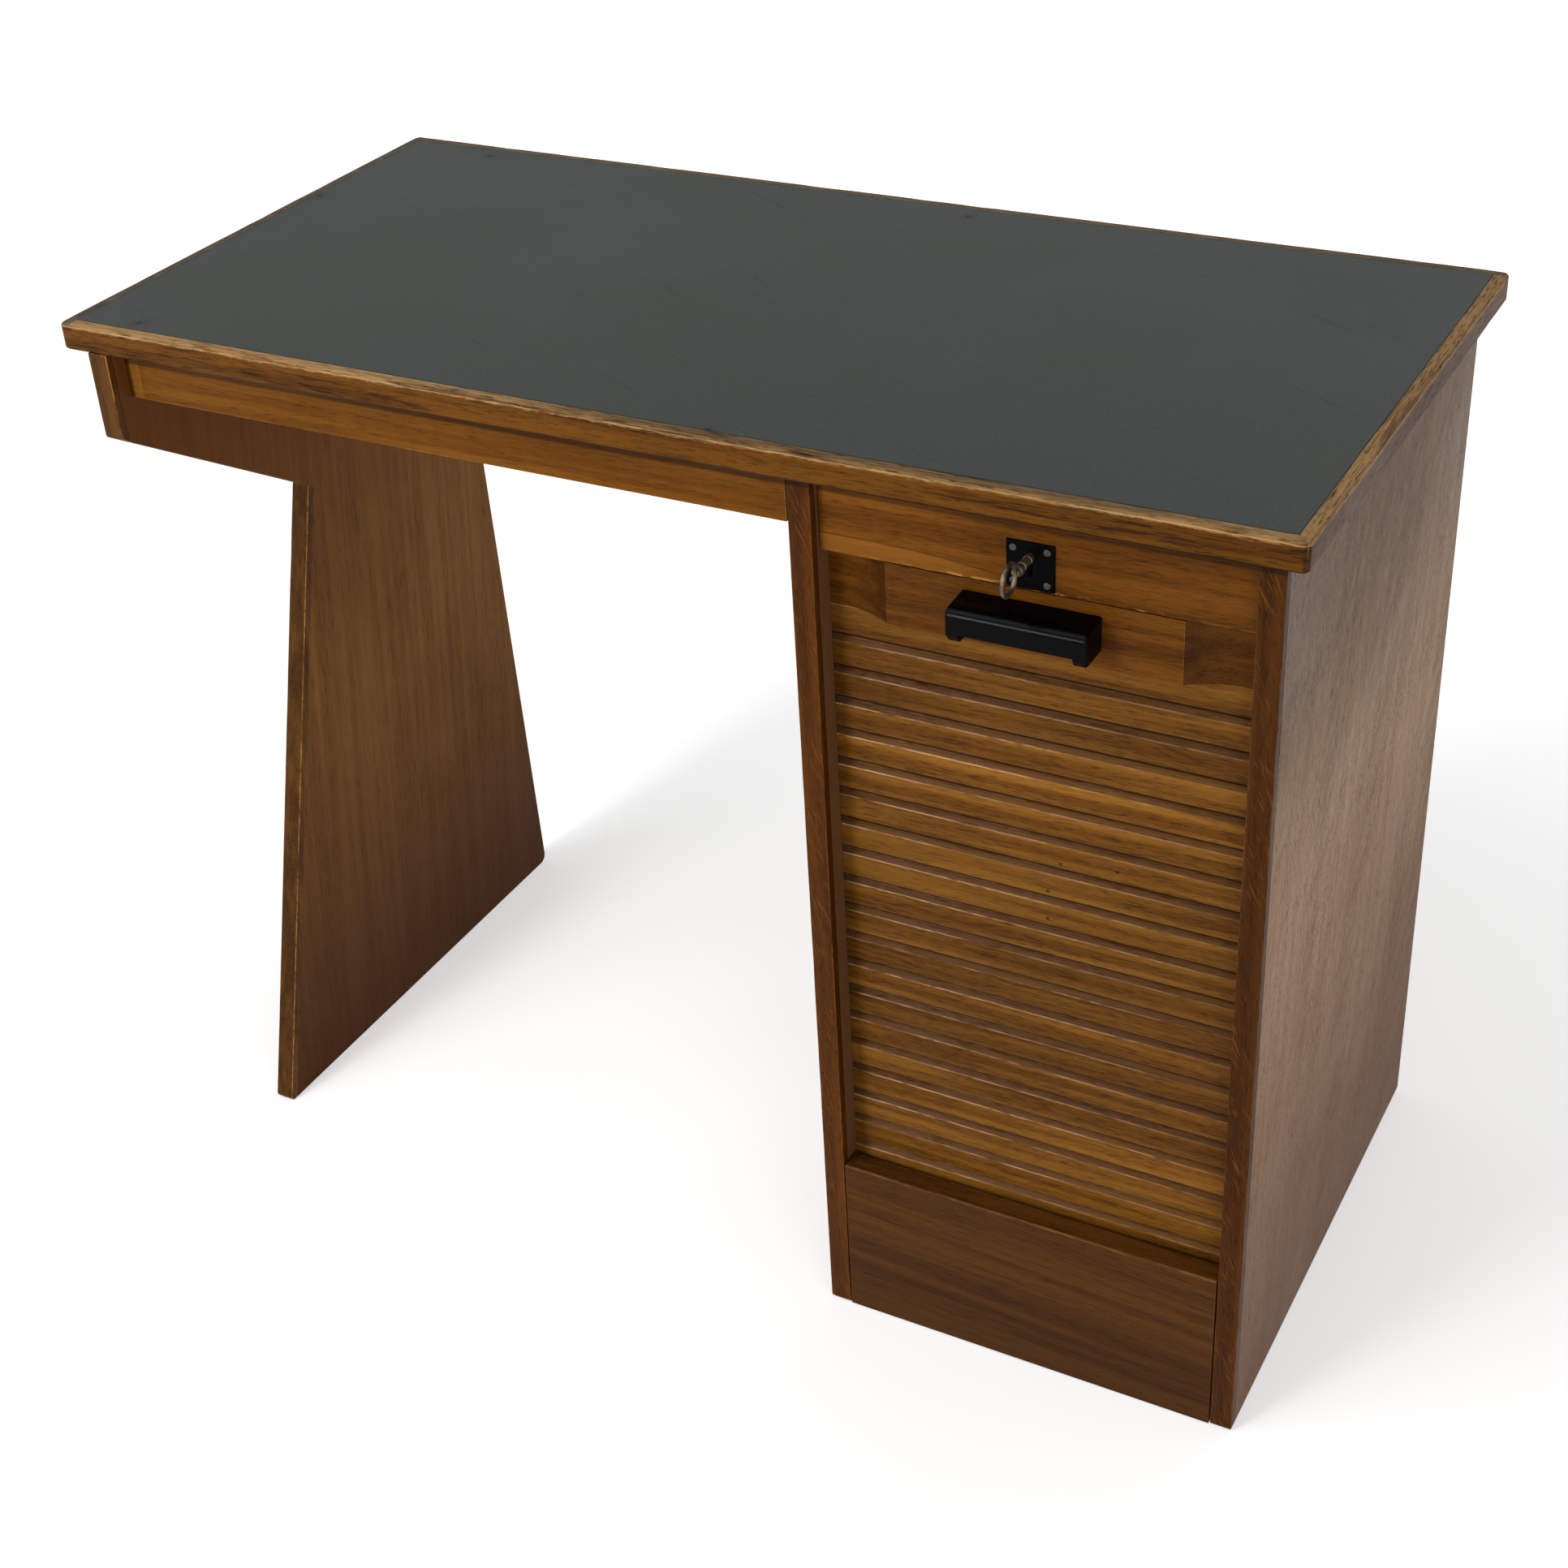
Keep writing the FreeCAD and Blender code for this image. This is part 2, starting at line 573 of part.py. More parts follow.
plate = box(key_x - half_plate, key_x + half_plate, plate_y, fascia_y, plate_z, plate_z + s.lock_plate_size)
plate = chamfer_where(plate, s.lock_plate_thickness / 2, lambda e: same(e.CenterOfMass.y, plate_y))
plate = plate.cut(keyhole(plate_y - s.overrun, fascia_y + s.overrun, s.key_hole_play))
plate_holes = [plate_screw_hole(*p) for p in plate_screw_places]
solid_node("lock_plate", plate.cut(plate_holes))
solid_node("lock_screws", Part.makeCompound([plate_screw(*p) for p in plate_screw_places]))

case_front_y = fascia_back_y - s.lock_pocket_depth + s.lock_case_play / 2
case_back_y = fascia_back_y
case_x0, case_x1 = key_x - s.lock_case_width / 2, key_x + s.lock_case_width / 2
case_z0 = fascia_z + s.lock_case_play / 2
case_z1 = case_z0 + s.lock_case_height
wall = s.lock_case_wall
lever_y = fascia_back_y - wall - s.keeper_thickness - 2 * s.lock_case_play - s.claw_thickness
pin_z = key_z - s.claw_inner_radius + s.claw_play + s.keeper_pin_radius
keeper_half = s.keeper_pin_radius * keeper_width_share

case = box(case_x0, case_x1, case_front_y, case_back_y, case_z0, case_z1)
case = case.cut(box(case_x0 + wall, case_x1 - wall, case_front_y + wall, case_back_y - wall,
                    case_z0 + wall, case_z1 - wall))
hub_radius = s.key_shaft_radius * hub_share
case = case.cut(rod(key_x, case_front_y - wall, key_z, V(0, 1, 0), hub_radius + s.key_hole_play, 3 * wall))
case = case.cut(rod(key_x, case_back_y - 2 * wall, key_z, V(0, 1, 0), s.key_shaft_radius
                    + s.key_hole_play / 2, 3 * wall))
case = case.cut(box(key_x - slot_half, key_x + slot_half, case_front_y - wall, case_front_y + 2 * wall,
                    slot_low_z, key_z))
case = case.cut(box(key_x - keeper_half - s.lock_case_play, key_x + keeper_half + s.lock_case_play,
                    lever_y - s.claw_thickness, case_back_y - wall, case_z0 - wall, case_z0 + 2 * wall))
solid_node("lock_case", case)


def sector(inner, outer, start, end, y0, y1):
    """Part of a ring about the key's axis. Angles go from +X towards +Z."""
    turn = Part.makeCylinder(outer, y1 - y0, V(key_x, y0, key_z), V(0, 1, 0), end - start)
    c = turn.CenterOfMass
    at = math.degrees(math.atan2(c.z - key_z, c.x - key_x))
    turn.rotate(V(key_x, y0, key_z), V(0, 1, 0), at - (start + end) / 2)
    return turn.cut(rod(key_x, y0, key_z, V(0, 1, 0), inner, y1 - y0)) if inner else turn


hub_y = case_front_y + s.fit_gap
lever_back_y = lever_y + s.claw_thickness
claw = sector(s.claw_inner_radius, s.claw_outer_radius, claw_tip_angle, claw_root_angle,
              lever_y, lever_back_y)
arm = sector(0, s.claw_inner_radius + s.overrun, claw_root_angle - claw_arm_angle, claw_root_angle,
             lever_y, lever_back_y)
hub = rod(key_x, hub_y, key_z, V(0, 1, 0), hub_radius, lever_back_y - hub_y)
journal = rod(key_x, lever_y, key_z, V(0, 1, 0), s.key_shaft_radius, case_back_y - s.fit_gap - lever_y)
key_end_y = lever_y - s.lock_case_play / 2
lever = claw.fuse([arm, hub, journal]).removeSplitter()
lever = lever.cut(rod(key_x, hub_y - s.overrun, key_z, V(0, 1, 0), s.key_shaft_radius + s.key_hole_play,
                      key_end_y - hub_y + s.overrun + s.key_hole_play))
lever = lever.cut(box(key_x - slot_half, key_x + slot_half, hub_y - s.overrun, key_end_y + s.key_hole_play,
                      key_z - hub_radius * 2, key_z))
solid_node("hook_lever", lever)

half_flat = s.bow_wire_radius / math.sqrt(3)
bow_points = [(2 * half_flat, 0), (half_flat, s.bow_wire_radius), (-half_flat, s.bow_wire_radius)]
bow_points += [(-a, -b) for a, b in bow_points]
bow_face = Part.Face(Part.makePolygon([V(key_x + a, bow_y + s.bow_radius + b, key_z)
                                       for a, b in bow_points + bow_points[:1]]))
bow = bow_face.revolve(V(key_x, bow_y, key_z), V(1, 0, 0), 360)
shaft_front_y = bow_y + s.bow_radius
shaft = rod(key_x, shaft_front_y, key_z, V(0, 1, 0), s.key_shaft_radius, key_end_y - shaft_front_y)
collar_radius = s.key_shaft_radius * collar_share
collar_y = shaft_front_y + s.key_reach * collar_place_share
collar = rod(key_x, collar_y, key_z, V(0, 1, 0), collar_radius, s.key_shaft_radius)
shoulder = Part.makeCone(s.key_shaft_radius * neck_share, collar_radius,
                         s.key_shaft_radius * neck_length_share,
                         V(key_x, shaft_front_y - s.bow_wire_radius / 2, key_z), V(0, 1, 0))
bit_y = case_front_y + wall + s.lock_case_play
bit_half = slot_half - s.key_hole_play * 2
bit_low_z = key_z - s.key_shaft_radius * bit_drop_share
bit = box(key_x - bit_half, key_x + bit_half, bit_y, key_end_y, bit_low_z, key_z)
ward = box(key_x - slot_half, key_x + slot_half, bit_y + (key_end_y - bit_y) * ward_low_share,
           bit_y + (key_end_y - bit_y) * ward_high_share, bit_low_z - s.fit_gap,
           bit_low_z + s.key_shaft_radius * ward_depth_share)
solid_node("key", bow.fuse([shaft, collar, shoulder, bit]).cut(ward).removeSplitter())


# The fixed rail over the curtain, with the keyhole and the lock's pocket

play = s.lock_case_play / 2
fascia = fillet_where(fascia, s.fascia_corner_radius, lambda e: is_along(e, V(0, 1, 0))
                      and same(e.CenterOfMass.z, fascia_z))
fascia = chamfer_where(fascia, s.end_gap * 2, lambda e: same(e.CenterOfMass.y, fascia_y)
                       and e.CenterOfMass.z < fascia_z + s.fascia_corner_radius)
fascia = fascia.cut(box(case_x0 - play, case_x1 + play, case_front_y - play, fascia_back_y + s.overrun,
                        fascia_z - s.overrun, case_z1 + play))
fascia = fascia.cut(keyhole(fascia_y - s.overrun, case_front_y,
                            s.key_shaft_radius * keyhole_play_share))
solid_node("fascia", fascia.cut(plate_holes))


# The pull rail: a thick board whose coved ends leave thin tongues for the track

tongue_left_x = bay_left_x - s.track_depth + s.tongue_gap
tongue_right_x = bay_right_x + s.track_depth - s.tongue_gap
tongue_y = fascia_y + s.rail_step
face_left_x = bay_left_x + s.rail_face_inset
face_right_x = bay_right_x - s.rail_face_inset
cove_run = math.sqrt(s.rail_cove_radius ** 2 - (s.rail_cove_radius - s.rail_step) ** 2)
cove_turn = math.asin(cove_run / s.rail_cove_radius) / 2


def rail_corner(x, y):
    return V(x, y, rail_low_z)


def cove(face_x, way):
    """Arc from the raised face out to the tongue, which it meets flat."""
    flat_x = face_x + way * cove_run
    centre_y = tongue_y - s.rail_cove_radius
    middle = rail_corner(flat_x - way * s.rail_cove_radius * math.sin(cove_turn),
                         centre_y + s.rail_cove_radius * math.cos(cove_turn))
    return rail_corner(face_x, fascia_y), middle, rail_corner(flat_x, tongue_y)


a, a_mid, b = cove(face_right_x, 1)
d, d_mid, c = cove(face_left_x, -1)
back_right = rail_corner(tongue_right_x, slat_back_y)
back_left = rail_corner(tongue_left_x, slat_back_y)
tip_right, tip_left = rail_corner(tongue_right_x, tongue_y), rail_corner(tongue_left_x, tongue_y)
outline = [line(d, a), arc(a, a_mid, b), line(b, tip_right), line(tip_right, back_right),
           line(back_right, back_left), line(back_left, tip_left), line(tip_left, c), arc(c, d_mid, d)]
rail = face_of(outline).extrude(V(0, 0, s.rail_height))

handle_back_y = fascia_y
handle_top_z = fascia_z - s.handle_drop
handle_left_x, handle_right_x = key_x - s.handle_width / 2, key_x + s.handle_width / 2
handle_screw_x = s.handle_width / 2 - s.handle_cheek / 2
handle_screw_z = handle_top_z - s.handle_height / 2


def handle_screw(x, more=0.0):
    """From the rail's back into a cheek of the handle."""
    head_y = slat_back_y + (s.overrun if more else 0)
    head = rod(x, head_y, handle_screw_z, V(0, -1, 0), s.screw_head_radius + more,
               s.screw_radius + head_y - slat_back_y + more)
    return head.fuse(rod(x, slat_back_y, handle_screw_z, V(0, -1, 0), s.screw_radius + more,
                         s.fascia_thickness + s.handle_cheek + more))


handle_screw_xs = (key_x - handle_screw_x, key_x + handle_screw_x)
solid_node("handle_screws", Part.makeCompound([handle_screw(x) for x in handle_screw_xs]))
rail = rail.cut([handle_screw(x, s.fit_gap) for x in handle_screw_xs])

foot_half = s.lock_plate_size * keeper_foot_share
foot_front_y = fascia_y + s.fascia_thickness * keeper_front_share
upright_back_y = fascia_back_y - wall - s.lock_case_play
keeper_foot = box(key_x - foot_half, key_x + foot_half, foot_front_y, upright_back_y,
                  rail_top_z - s.keeper_thickness, rail_top_z)
upright = box(key_x - keeper_half, key_x + keeper_half, upright_back_y - s.keeper_thickness, upright_back_y,
              rail_top_z - s.keeper_thickness, pin_z + s.keeper_pin_radius * keeper_rise_share)
pin_front_y = lever_y - s.lock_case_play
pin = rod(key_x, pin_front_y, pin_z, V(0, 1, 0), s.keeper_pin_radius, upright_back_y - pin_front_y)
keeper_screw_y = (foot_front_y + upright_back_y) / 2
keeper_screw_reach = foot_half * keeper_screw_place_share
keeper_screw_xs = (key_x - keeper_screw_reach, key_x + keeper_screw_reach)


def keeper_screw(x, more=0.0):
    length = s.rail_height * keeper_screw_length_share
    return rod(x, keeper_screw_y, rail_top_z - length - more, V(0, 0, 1), s.small_screw_radius + more,
               length + more)


solid_node("keeper", keeper_foot.fuse([upright, pin]).removeSplitter()
           .cut([keeper_screw(x, s.fit_gap) for x in keeper_screw_xs]))
solid_node("keeper_screws", Part.makeCompound([keeper_screw(x) for x in keeper_screw_xs]))
seat = box(key_x - foot_half - s.fit_gap, key_x + foot_half + s.fit_gap, foot_front_y - s.fit_gap,
           upright_back_y + s.fit_gap, rail_top_z - s.keeper_thickness, rail_top_z + s.overrun)
solid_node("pull_rail", rail.cut(seat).cut([keeper_screw(x, s.fit_gap) for x in keeper_screw_xs]))


# The moulded handle: two cheeks, and a hood with an open finger space under it

nose_y = handle_back_y - s.handle_reach
nose_z = handle_top_z - s.handle_reach * nose_fall_share
hood_low_z = handle_top_z - s.handle_height * hood_drop_share
cheek_low_z = handle_top_z - s.handle_height
nose_round = s.handle_reach * nose_round_share
wall = s.handle_wall


def handle_prism(points, x, width):
    """A length of the handle, its nose rounded over."""
    solid = flat([V(x, y, z) for y, z in points], V(width, 0, 0))
    return fillet_where(solid, nose_round, lambda e: is_along(e, V(1, 0, 0))
                        and abs(e.CenterOfMass.y - nose_y) < TINY and abs(e.CenterOfMass.z - nose_z) < TINY)


cheek_points = [(handle_back_y, cheek_low_z), (handle_back_y, handle_top_z), (nose_y, nose_z),
                (nose_y, cheek_low_z + s.handle_height * cheek_front_rise_share),
                (nose_y + s.handle_reach * cheek_low_place_share, cheek_low_z)]
hood_points = [(handle_back_y, handle_top_z), (nose_y, nose_z), (nose_y, hood_low_z),
               (nose_y + wall * lip_share, hood_low_z), (nose_y + wall, nose_z - wall),
               (handle_back_y - wall, handle_top_z - wall * hood_back_share),
               (handle_back_y - wall * back_lip_share, hood_low_z), (handle_back_y, hood_low_z)]
handle = handle_prism(hood_points, handle_left_x + s.handle_cheek, s.handle_width - 2 * s.handle_cheek)
for outer_x, x in ((handle_left_x, handle_left_x), (handle_right_x, handle_right_x - s.handle_cheek)):
    cheek = handle_prism(cheek_points, x, s.handle_cheek)
    cheek = fillet_where(cheek, wall * cheek_round_share, lambda e: is_along(e, V(1, 0, 0))
                         and e.CenterOfMass.y < handle_back_y - TINY
                         and e.CenterOfMass.z < nose_z - nose_round)
    cheek = chamfer_where(cheek, wall * cheek_chamfer_share, lambda e: same(e.CenterOfMass.x, outer_x)
                          and e.CenterOfMass.y < handle_back_y - TINY)
    handle = handle.fuse(cheek)
solid_node("handle", handle.cut([handle_screw(x, s.fit_gap) for x in handle_screw_xs]))


# The curtain: slats on a canvas backing. The first slat's upper edge is left square.

slat_height = s.slat_pitch - s.slat_gap
chamfer_y, chamfer = slat_front_y + s.slat_chamfer, s.slat_chamfer
curtain_room = rail_low_z - s.slat_gap - s.track_bend_height - s.curtain_clearance
for number in range(1, int(curtain_room / s.slat_pitch) + 1):
    high = rail_low_z - s.slat_gap - (number - 1) * s.slat_pitch
    low = high - slat_height
    upper = [(slat_front_y, high)] if number == 1 else [(chamfer_y, high), (slat_front_y, high - chamfer)]
    lower = [(slat_front_y, low + chamfer), (chamfer_y, low)]
    padded(f"slat_{number:02d}", "x", [(slat_back_y, low), (slat_back_y, high)] + upper + lower,
           tongue_left_x, tongue_right_x - tongue_left_x)
canvas_inset = s.track_depth * canvas_inset_share
padded("curtain_canvas", "y",
       rectangle(bay_left_x + canvas_inset, bay_right_x - canvas_inset, low, rail_low_z + s.handle_drop),
       slat_back_y, s.canvas_thickness, "dims.canvas_thickness")


# Check and write every sub-part

doc.recompute()
problems = []
for name, obj in nodes.items():
    if {"Invalid", "Error"} & set(obj.State):
        problems.append(f"{name}: {obj.State}")
    if obj.Shape.isNull() or not obj.Shape.isValid() or not obj.Shape.Solids:
        problems.append(f"{name}: bad shape")
    obj.Shape.exportStep(f"parts/{name}.step")
if problems:
    raise RuntimeError("; ".join(problems))
whole = Part.makeCompound([obj.Shape for obj in nodes.values()]).BoundBox
print(len(nodes), "sub-parts; box", whole)
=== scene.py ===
import json
import math
import random

import bmesh
import bpy
from mathutils import Matrix, Vector, noise

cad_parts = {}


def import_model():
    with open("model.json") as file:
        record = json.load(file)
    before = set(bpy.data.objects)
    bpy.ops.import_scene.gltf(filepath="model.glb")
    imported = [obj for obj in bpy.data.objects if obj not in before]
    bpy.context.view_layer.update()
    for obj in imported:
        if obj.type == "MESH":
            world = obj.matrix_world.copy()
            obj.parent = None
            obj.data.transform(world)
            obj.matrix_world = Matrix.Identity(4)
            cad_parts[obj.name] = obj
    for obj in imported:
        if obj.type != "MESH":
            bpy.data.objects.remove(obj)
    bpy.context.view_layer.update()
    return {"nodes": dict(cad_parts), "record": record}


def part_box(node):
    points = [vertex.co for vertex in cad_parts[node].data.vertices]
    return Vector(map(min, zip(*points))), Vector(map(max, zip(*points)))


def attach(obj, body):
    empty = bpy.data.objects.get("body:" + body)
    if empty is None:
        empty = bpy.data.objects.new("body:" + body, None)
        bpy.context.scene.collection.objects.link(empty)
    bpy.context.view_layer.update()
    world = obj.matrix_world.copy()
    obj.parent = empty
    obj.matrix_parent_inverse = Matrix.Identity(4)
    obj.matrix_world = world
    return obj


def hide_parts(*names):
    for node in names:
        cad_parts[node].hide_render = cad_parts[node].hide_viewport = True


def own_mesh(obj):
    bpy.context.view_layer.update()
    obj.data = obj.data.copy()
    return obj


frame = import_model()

# Everything is in metres, in the frame of the CAD model: X to the right along
# the front, -Y out of the front, Z up from the floor.

MM = 0.001
WHITE = (1, 1, 1, 1)
record = frame["record"]
slot_of = {row["node"]: row["material_slot"] for row in record["subparts"]}
body_of = {node: body for body, nodes in record["behaviour"]["bodies"].items() for node in nodes}


def srgb(red, green, blue):
    """A colour as a screen shows it, 0 to 255, as the linear values that a shader takes."""
    def linear(value):
        value /= 255
        return value / 12.92 if value <= 0.04045 else ((value + 0.055) / 1.055) ** 2.4
    return (linear(red), linear(green), linear(blue), 1.0)


def linked(name, data):
    """A new object that is in the scene."""
    obj = bpy.data.objects.new(name, data)
    bpy.context.scene.collection.objects.link(obj)
    return obj


def meshed(bm, name):
    """An edited mesh as a mesh that an object can have."""
    mesh = bpy.data.meshes.new(name)
    bm.to_mesh(mesh)
    bm.free()
    return mesh


# Camera: found by fitting the desk's corners to the photograph

AZIMUTH, ELEVATION, ROLL = math.radians(29.964), math.radians(32.50), math.radians(-3.567)
DISTANCE = 2.0027
AIM = Vector((-14.2, 8.5, 335.8)) * MM
FOCAL_PIXELS, FRAME_PIXELS = 2994.5, 1932


def camera():
    """The photograph's camera, from the directions to its right, above it and back from what it aims at."""
    back = Vector((math.sin(AZIMUTH) * math.cos(ELEVATION), -math.cos(AZIMUTH) * math.cos(ELEVATION),
                   math.sin(ELEVATION)))
    across = Vector((0, 0, 1)).cross(back).normalized()
    up = back.cross(across)
    right = across * math.cos(ROLL) + up * math.sin(ROLL)
    above = up * math.cos(ROLL) - across * math.sin(ROLL)
    data = bpy.data.cameras.new("camera")
    data.sensor_fit = "HORIZONTAL"
    data.sensor_width = 36.0
    data.lens = data.sensor_width * FOCAL_PIXELS / FRAME_PIXELS
    data.clip_start, data.clip_end = 0.05, 50
    obj = linked("camera", data)
    turn = Matrix((right, above, back)).transposed().to_4x4()
    obj.matrix_world = Matrix.Translation(AIM + back * DISTANCE) @ turn
    bpy.context.scene.camera = obj


camera()


# Node trees

class Tree:
    """Adds nodes to a material or a world and links them, with sockets named as Blender names them."""

    def __init__(self, owner):
        self.owner = owner
        self.owner.use_nodes = True
        self.tree = owner.node_tree
        self.tree.nodes.clear()

    def add(self, kind, settings=None, **inputs):
        """A node with its settings and inputs. An input is a name with _ for spaces, or i and its number."""
        node = self.tree.nodes.new("ShaderNode" + kind)
        for key, value in (settings or {}).items():
            setattr(node, key, value)
        for key, value in inputs.items():
            self.put(node, key.replace("_", " "), value)
        return node

    def put(self, node, key, value):
        socket = node.inputs[int(key[1:]) if key[0] == "i" and key[1:].isdigit() else key]
        if isinstance(value, bpy.types.NodeSocket):
            self.tree.links.new(value, socket)
        else:
            socket.default_value = value

    def finish(self, **inputs):
        """The material, with a shader that has these inputs."""
        shader = self.add("BsdfPrincipled", **inputs)
        self.add("OutputMaterial", Surface=shader.outputs[0])
        return self.owner

    # Numbers

    def maths(self, operation, a, b=0.0, c=0.0):
        return self.add("Math", {"operation": operation}, i0=a, i1=b, i2=c).outputs[0]

    def vector_maths(self, operation, a, b):
        return self.add("VectorMath", {"operation": operation}, i0=a, i1=b).outputs["Value"]

    def product(self, *values):
        result = values[0]
        for value in values[1:]:
            result = self.maths("MULTIPLY", result, value)
        return result

    def greater(self, a, b):
        return self.maths("MAXIMUM", a, b)

    def less(self, value, share):
        """One, less a share of a value."""
        return self.maths("MULTIPLY_ADD", value, -share, 1.0)

    def away(self, value, centre):
        """How far a value is from a centre, either way."""
        return self.maths("ABSOLUTE", self.maths("SUBTRACT", value, centre))

    def span(self, value, low, high, to_low=0.0, to_high=1.0):
        """Value from low to high, as to_low to to_high, held at both ends and eased between."""
        return self.add("MapRange", {"interpolation_type": "SMOOTHSTEP"}, Value=value, From_Min=low,
                        From_Max=high, To_Min=to_low, To_Max=to_high).outputs[0]

    def line(self, value, centre, width):
        """One where a value is at a centre, and zero from a width away."""
        return self.span(self.away(value, centre), width, 0.0)

    # Colours and relief

    def mix(self, share, a, b):
        return self.add("Mix", {"data_type": "RGBA"}, i0=share, i6=a, i7=b).outputs[2]

    def times(self, colour, share):
        if isinstance(colour, tuple):
            colour = colour[:3]
        return self.add("VectorMath", {"operation": "SCALE"}, i0=colour, Scale=share).outputs[0]

    def bump(self, height, strength, distance):
        return self.add("Bump", Height=height, Strength=strength, Distance=distance).outputs[0]

    # What the surface is like at a point

    def place(self):
        return self.add("TexCoord").outputs["Object"]

    def part(self, vector, axis):
        return self.add("SeparateXYZ", Vector=vector).outputs["xyz".index(axis)]

    def at(self, axis):
        """Where the point is along an axis."""
        return self.part(self.place(), axis)

    def normal(self, axis):
        """How much the surface faces along an axis, from -1 to 1."""
        return self.part(self.add("NewGeometry").outputs["Normal"], axis)

    def attribute(self, name):
        return self.add("Attribute", {"attribute_name": name}).outputs["Fac"]

    def scaled(self, scale, turn=(0, 0, 0)):
        """The place, turned and then scaled: by one number, or by one for each axis."""
        vector = self.place()
        if any(turn):
            vector = self.add("Mapping", Vector=vector, Rotation=turn).outputs[0]
        if not isinstance(scale, tuple):
            scale = (scale, scale, scale)
        return self.add("Mapping", Vector=vector, Scale=scale).outputs[0]

    def noise(self, scale, detail, rough=0.5, seed=None, turn=(0, 0, 0)):
        """Noise from 0 to 1, with about scale waves to a metre."""
        settings = {"noise_dimensions": "4D"} if seed is not None else {}
        node = self.add("TexNoise", settings, Vector=self.scaled(scale, turn), Scale=1.0, Detail=detail,
                        Roughness=rough)
        if seed is not None:
            self.put(node, "W", seed)
        return node.outputs[0]

    def marks(self, axis, level, points, radius, soft=0.5):
        """One inside small round marks on a face across an axis, and zero outside.

        A point is the other two coordinates in millimetres, and the radius is in millimetres too."""
        result = 0.0
        for point in points:
            centre = [v * MM for v in point]
            centre.insert("xyz".index(axis), level)
            distance = self.vector_maths("DISTANCE", self.place(), tuple(centre))
            outer, inner = radius * (1 + soft) * MM, radius * (1 - soft) * MM
            result = self.greater(result, self.span(distance, outer, inner))
        return result

    def scratch(self, start, end, width):
        """One along a thin line on a face across X, from one (y, z) in millimetres to another."""
        a, b = (Vector((0, *point)) * MM for point in (start, end))
        length = (b - a).length
        along = (b - a).normalized()
        across = Vector((1, 0, 0)).cross(along)
        run, off = (self.vector_maths("DOT_PRODUCT", self.place(), tuple(way)) for way in (along, across))
        run = self.maths("SUBTRACT", run, along.dot(a))
        inside = self.product(self.span(run, 0, 0.1 * length), self.span(run, length, 0.6 * length))
        return self.product(inside, self.line(off, across.dot(a), width * MM))

    def seen_ray(self):
        """One for the rays that see a white background: from the camera, glossy or through glass."""
        rays = self.add("LightPath").outputs
        result = rays["Is Camera Ray"]
        for name in ("Is Glossy Ray", "Is Transmission Ray"):
            result = self.greater(result, rays[name])
        return result


def tree_of_material(name):
    """The empty tree of a new material."""
    return Tree(bpy.data.materials.new(name))


# For a grain along each axis, the number of the axis that it tilts and sweeps about
TILT_AXES = {"x": 1, "y": 2, "z": 0}
SEED_STEP = 7.31


